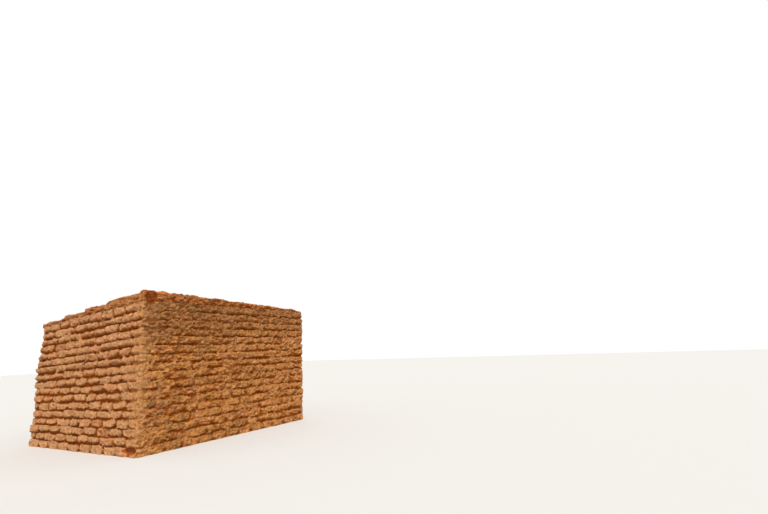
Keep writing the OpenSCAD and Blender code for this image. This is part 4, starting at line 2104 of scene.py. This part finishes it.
@dataclass
class RoofTray:
    """The beaten earth between the parapets, with its fillets, and the reed mat under it."""

    size: HouseSize
    noise: MudNoise
    fillet: float = 0.055
    lap: float = 0.012
    step: float = 0.021
    channel_run: float = 0.9
    channel_half: float = 0.30
    channel_depth: float = 0.014
    mat_step: float = 0.034
    strip_rise: float = 0.002
    sag: float = 0.002

    def sheet(self, low: float, high: ndarray, x: ndarray, y: ndarray) -> bmesh.types.BMesh:
        """Makes a slab with an uneven top and an even underside.

        Args:
            low: Height of the underside above the beams.
            high: Heights of the top above the beams, of shape (rows, columns).
            x: Places of the columns.
            y: Places of the rows.

        Returns:
            The closed slab.
        """
        size = self.size
        slab = bmesh.new()
        bmesh.ops.create_grid(slab, x_segments=len(x) - 1, y_segments=len(y) - 1, size=1.0)
        grid_x, grid_y = np.meshgrid(x, y)
        top = np.stack([grid_x, grid_y, size.deck_at(grid_y) + high * size.slope], axis=-1)
        for vert, place in zip(slab.verts, top.reshape(-1, 3).tolist()):
            vert.co = place
        rims = [edge for edge in slab.edges if edge.is_boundary]
        grown = bmesh.ops.extrude_edge_only(slab, edges=rims)["geom"]
        for item in grown:
            if isinstance(item, bmesh.types.BMVert):
                item.co.z = size.deck_at(item.co.y) + low * size.slope
        fill_holes(slab)
        return slab

    def build(self, earth: Material, reed: Material, spouts: DrainSpouts) -> None:
        """Builds and dresses the roof earth and the reed mat.

        Args:
            earth: Material of the roof earth.
            reed: Material of the mat.
            spouts: Spouts that the roof drains to.
        """
        size, lap = self.size, self.lap
        x = np.arange(size.in_left - lap, size.in_right + lap + self.step / 2, self.step)
        y = np.arange(size.in_front - lap, size.in_back + lap + self.step / 2, self.step)
        grid = np.stack(np.broadcast_arrays(x[None], y[:, None], 0.0), axis=-1)
        from_side = np.minimum(x - size.in_left, size.in_right - x)[None]
        from_front = (y - size.in_front)[:, None]
        spread = self.fillet * 1.5
        rise = np.clip(1.0 - np.minimum(from_side, from_front) / spread, 0.0, 1.1) ** 1.8
        wave = 0.010 * self.noise.layered(grid, 0.6, 2) + 0.004 * self.noise.layered(grid, 0.12, 3)
        # Shallow channels that the rain follows to the spouts
        towards = smooth_step(y, size.in_back - self.channel_run, size.in_back)[:, None]
        for side in (-1.0, 1.0):
            away = (x - side * spouts.spacing / 2.0)[None] / self.channel_half
            wave = wave - self.channel_depth * towards * np.exp(-(away**2))
        high = size.roof_height + wave + self.fillet * rise
        slab = self.sheet(size.pole + size.mat, high, x, y)
        for key in MARKS:
            layer = slab.verts.layers.float.new(key)
            for vert in slab.verts:
                vert[layer] = 0.5 if key == "worn" else 0.0
        piece = finished("roof_earth_tray", slab, 60.0)
        nodes = ["earth_roof", "front_fillet", "left_fillet", "right_fillet"]
        dress(piece, earth, nodes)
        x = np.arange(size.in_left, size.in_right + self.mat_step / 2, self.mat_step)
        y = np.arange(size.in_front, size.in_back + self.mat_step / 2, self.mat_step)
        odd = np.add.outer(np.arange(len(y)), np.arange(len(x))) % 2
        weave = np.where(odd, self.strip_rise, -self.strip_rise)
        slab = self.sheet(size.pole - self.sag, size.pole + size.mat + weave, x, y)
        piece = finished("reed_mat_weave", slab, 80.0)
        dress(piece, reed, ["reed_mat"])


# Stage


@dataclass
class Stage:
    """Camera, plain soft light, pale floor and white background."""

    eye: tuple[float, float, float] = (-7.258, -9.111, 1.568)
    yaw: float = 61.86
    pitch: float = 10.92
    roll: float = -2.10
    focal_pixels: float = 475.2
    picture_width: float = 768.0
    sensor_mm: float = 36.0
    sun_from: tuple[float, float, float] = (-0.60, -0.57, 1.38)
    sun_strength: float = 3.15
    sun_degrees: float = 5.0
    fill_strength: float = 0.58
    floor_half: float = 60.0

    def build(self) -> None:
        """Sets up the camera, the lamps, the world and the floor."""
        self._camera()
        self._light()
        self._floor()
        bpy.context.scene.view_settings.view_transform = "Standard"

    def _camera(self) -> None:
        """Puts the camera where the photograph was taken from, near the left front corner."""
        yaw, pitch, roll = (math.radians(a) for a in (self.yaw, self.pitch, self.roll))
        ahead = Vector((
            math.sin(yaw) * math.cos(pitch), math.cos(yaw) * math.cos(pitch), math.sin(pitch)
        ))
        level = Vector((math.cos(yaw), -math.sin(yaw), 0.0))
        upright = level.cross(ahead)
        across = math.cos(roll) * level + math.sin(roll) * upright
        upward = -math.sin(roll) * level + math.cos(roll) * upright
        lens = bpy.data.cameras.new("view_of_corner")
        lens.sensor_width = self.sensor_mm
        lens.lens = self.focal_pixels / self.picture_width * self.sensor_mm
        lens.clip_start, lens.clip_end = 0.1, 400.0
        camera = linked("view_of_corner", lens)
        turn = Matrix((across, upward, -ahead)).transposed().to_4x4()
        camera.matrix_world = Matrix.Translation(Vector(self.eye)) @ turn
        bpy.context.scene.camera = camera

    def _light(self) -> None:
        """Makes one high soft lamp and an even world, white to the camera and in reflections."""
        lamp = bpy.data.lights.new("high_lamp", "SUN")
        lamp.energy = self.sun_strength
        lamp.angle = math.radians(self.sun_degrees)
        lamp.color = (1.0, 0.985, 0.96)
        aim = Vector(self.sun_from).normalized()
        turn = aim.to_track_quat("Z", "Y").to_matrix().to_4x4()
        linked("high_lamp", lamp).matrix_world = turn
        world = bpy.data.worlds.new("studio")
        bpy.context.scene.world = world
        world.use_nodes = True
        tree = world.node_tree
        tree.nodes.clear()
        path = add_node(tree, "ShaderNodeLightPath")
        seen = path.outputs["Is Camera Ray"]
        for ray in ("Is Glossy Ray", "Is Transmission Ray"):
            seen = add_node(
                tree, "ShaderNodeMath", {0: seen, 1: path.outputs[ray]}, operation="MAXIMUM"
            ).outputs[0]
        strength = add_node(
            tree, "ShaderNodeMapRange",
            {"Value": seen, "To Min": self.fill_strength, "To Max": 1.0},
        ).outputs["Result"]
        light = add_node(
            tree, "ShaderNodeBackground",
            {"Color": (1.0, 1.0, 1.0, 1.0), "Strength": strength},
        )
        add_node(tree, "ShaderNodeOutputWorld", {"Surface": light.outputs[0]})

    def _floor(self) -> None:
        """Lays the plain pale floor."""
        sheet = bmesh.new()
        bmesh.ops.create_grid(sheet, x_segments=1, y_segments=1, size=self.floor_half)
        mesh = bpy.data.meshes.new("studio_floor")
        sheet.to_mesh(mesh)
        sheet.free()
        floor = linked("studio_floor", mesh)
        material, tree = blank_material("pale_floor")
        surface = add_node(
            tree, "ShaderNodeBsdfPrincipled",
            {"Base Color": linear("#CFCDC9"), "Roughness": 0.95},
        )
        add_node(tree, "ShaderNodeOutputMaterial", {"Surface": surface.outputs[0]})
        floor.data.materials.append(material)


def main() -> None:
    """Builds every sub-assembly in turn."""
    logging.basicConfig(level=logging.INFO, format="%(name)s: %(message)s")
    size = HouseSize.from_frame()
    noise = MudNoise(SEED)
    weather = Weather(size, noise, Bond(size))
    log = WEATHERED_LOG.material()
    spouts = DrainSpouts(size, noise)
    masonry = Masonry(size, weather)
    masonry.build(ADOBE_BRICK.material(), spouts)
    CornerSmear(size, weather, masonry).build(MUD_PLASTER.material())
    Copings(size, weather).build(MUD_COPING.material())
    RoofTimbers(size, noise).build(log, ROOF_POLE.material())
    spouts.build(log)
    RoofTray(size, noise).build(BEATEN_EARTH.material(), SPLIT_REED.material(), spouts)
    Stage().build()


if __name__ == "__main__":
    main()
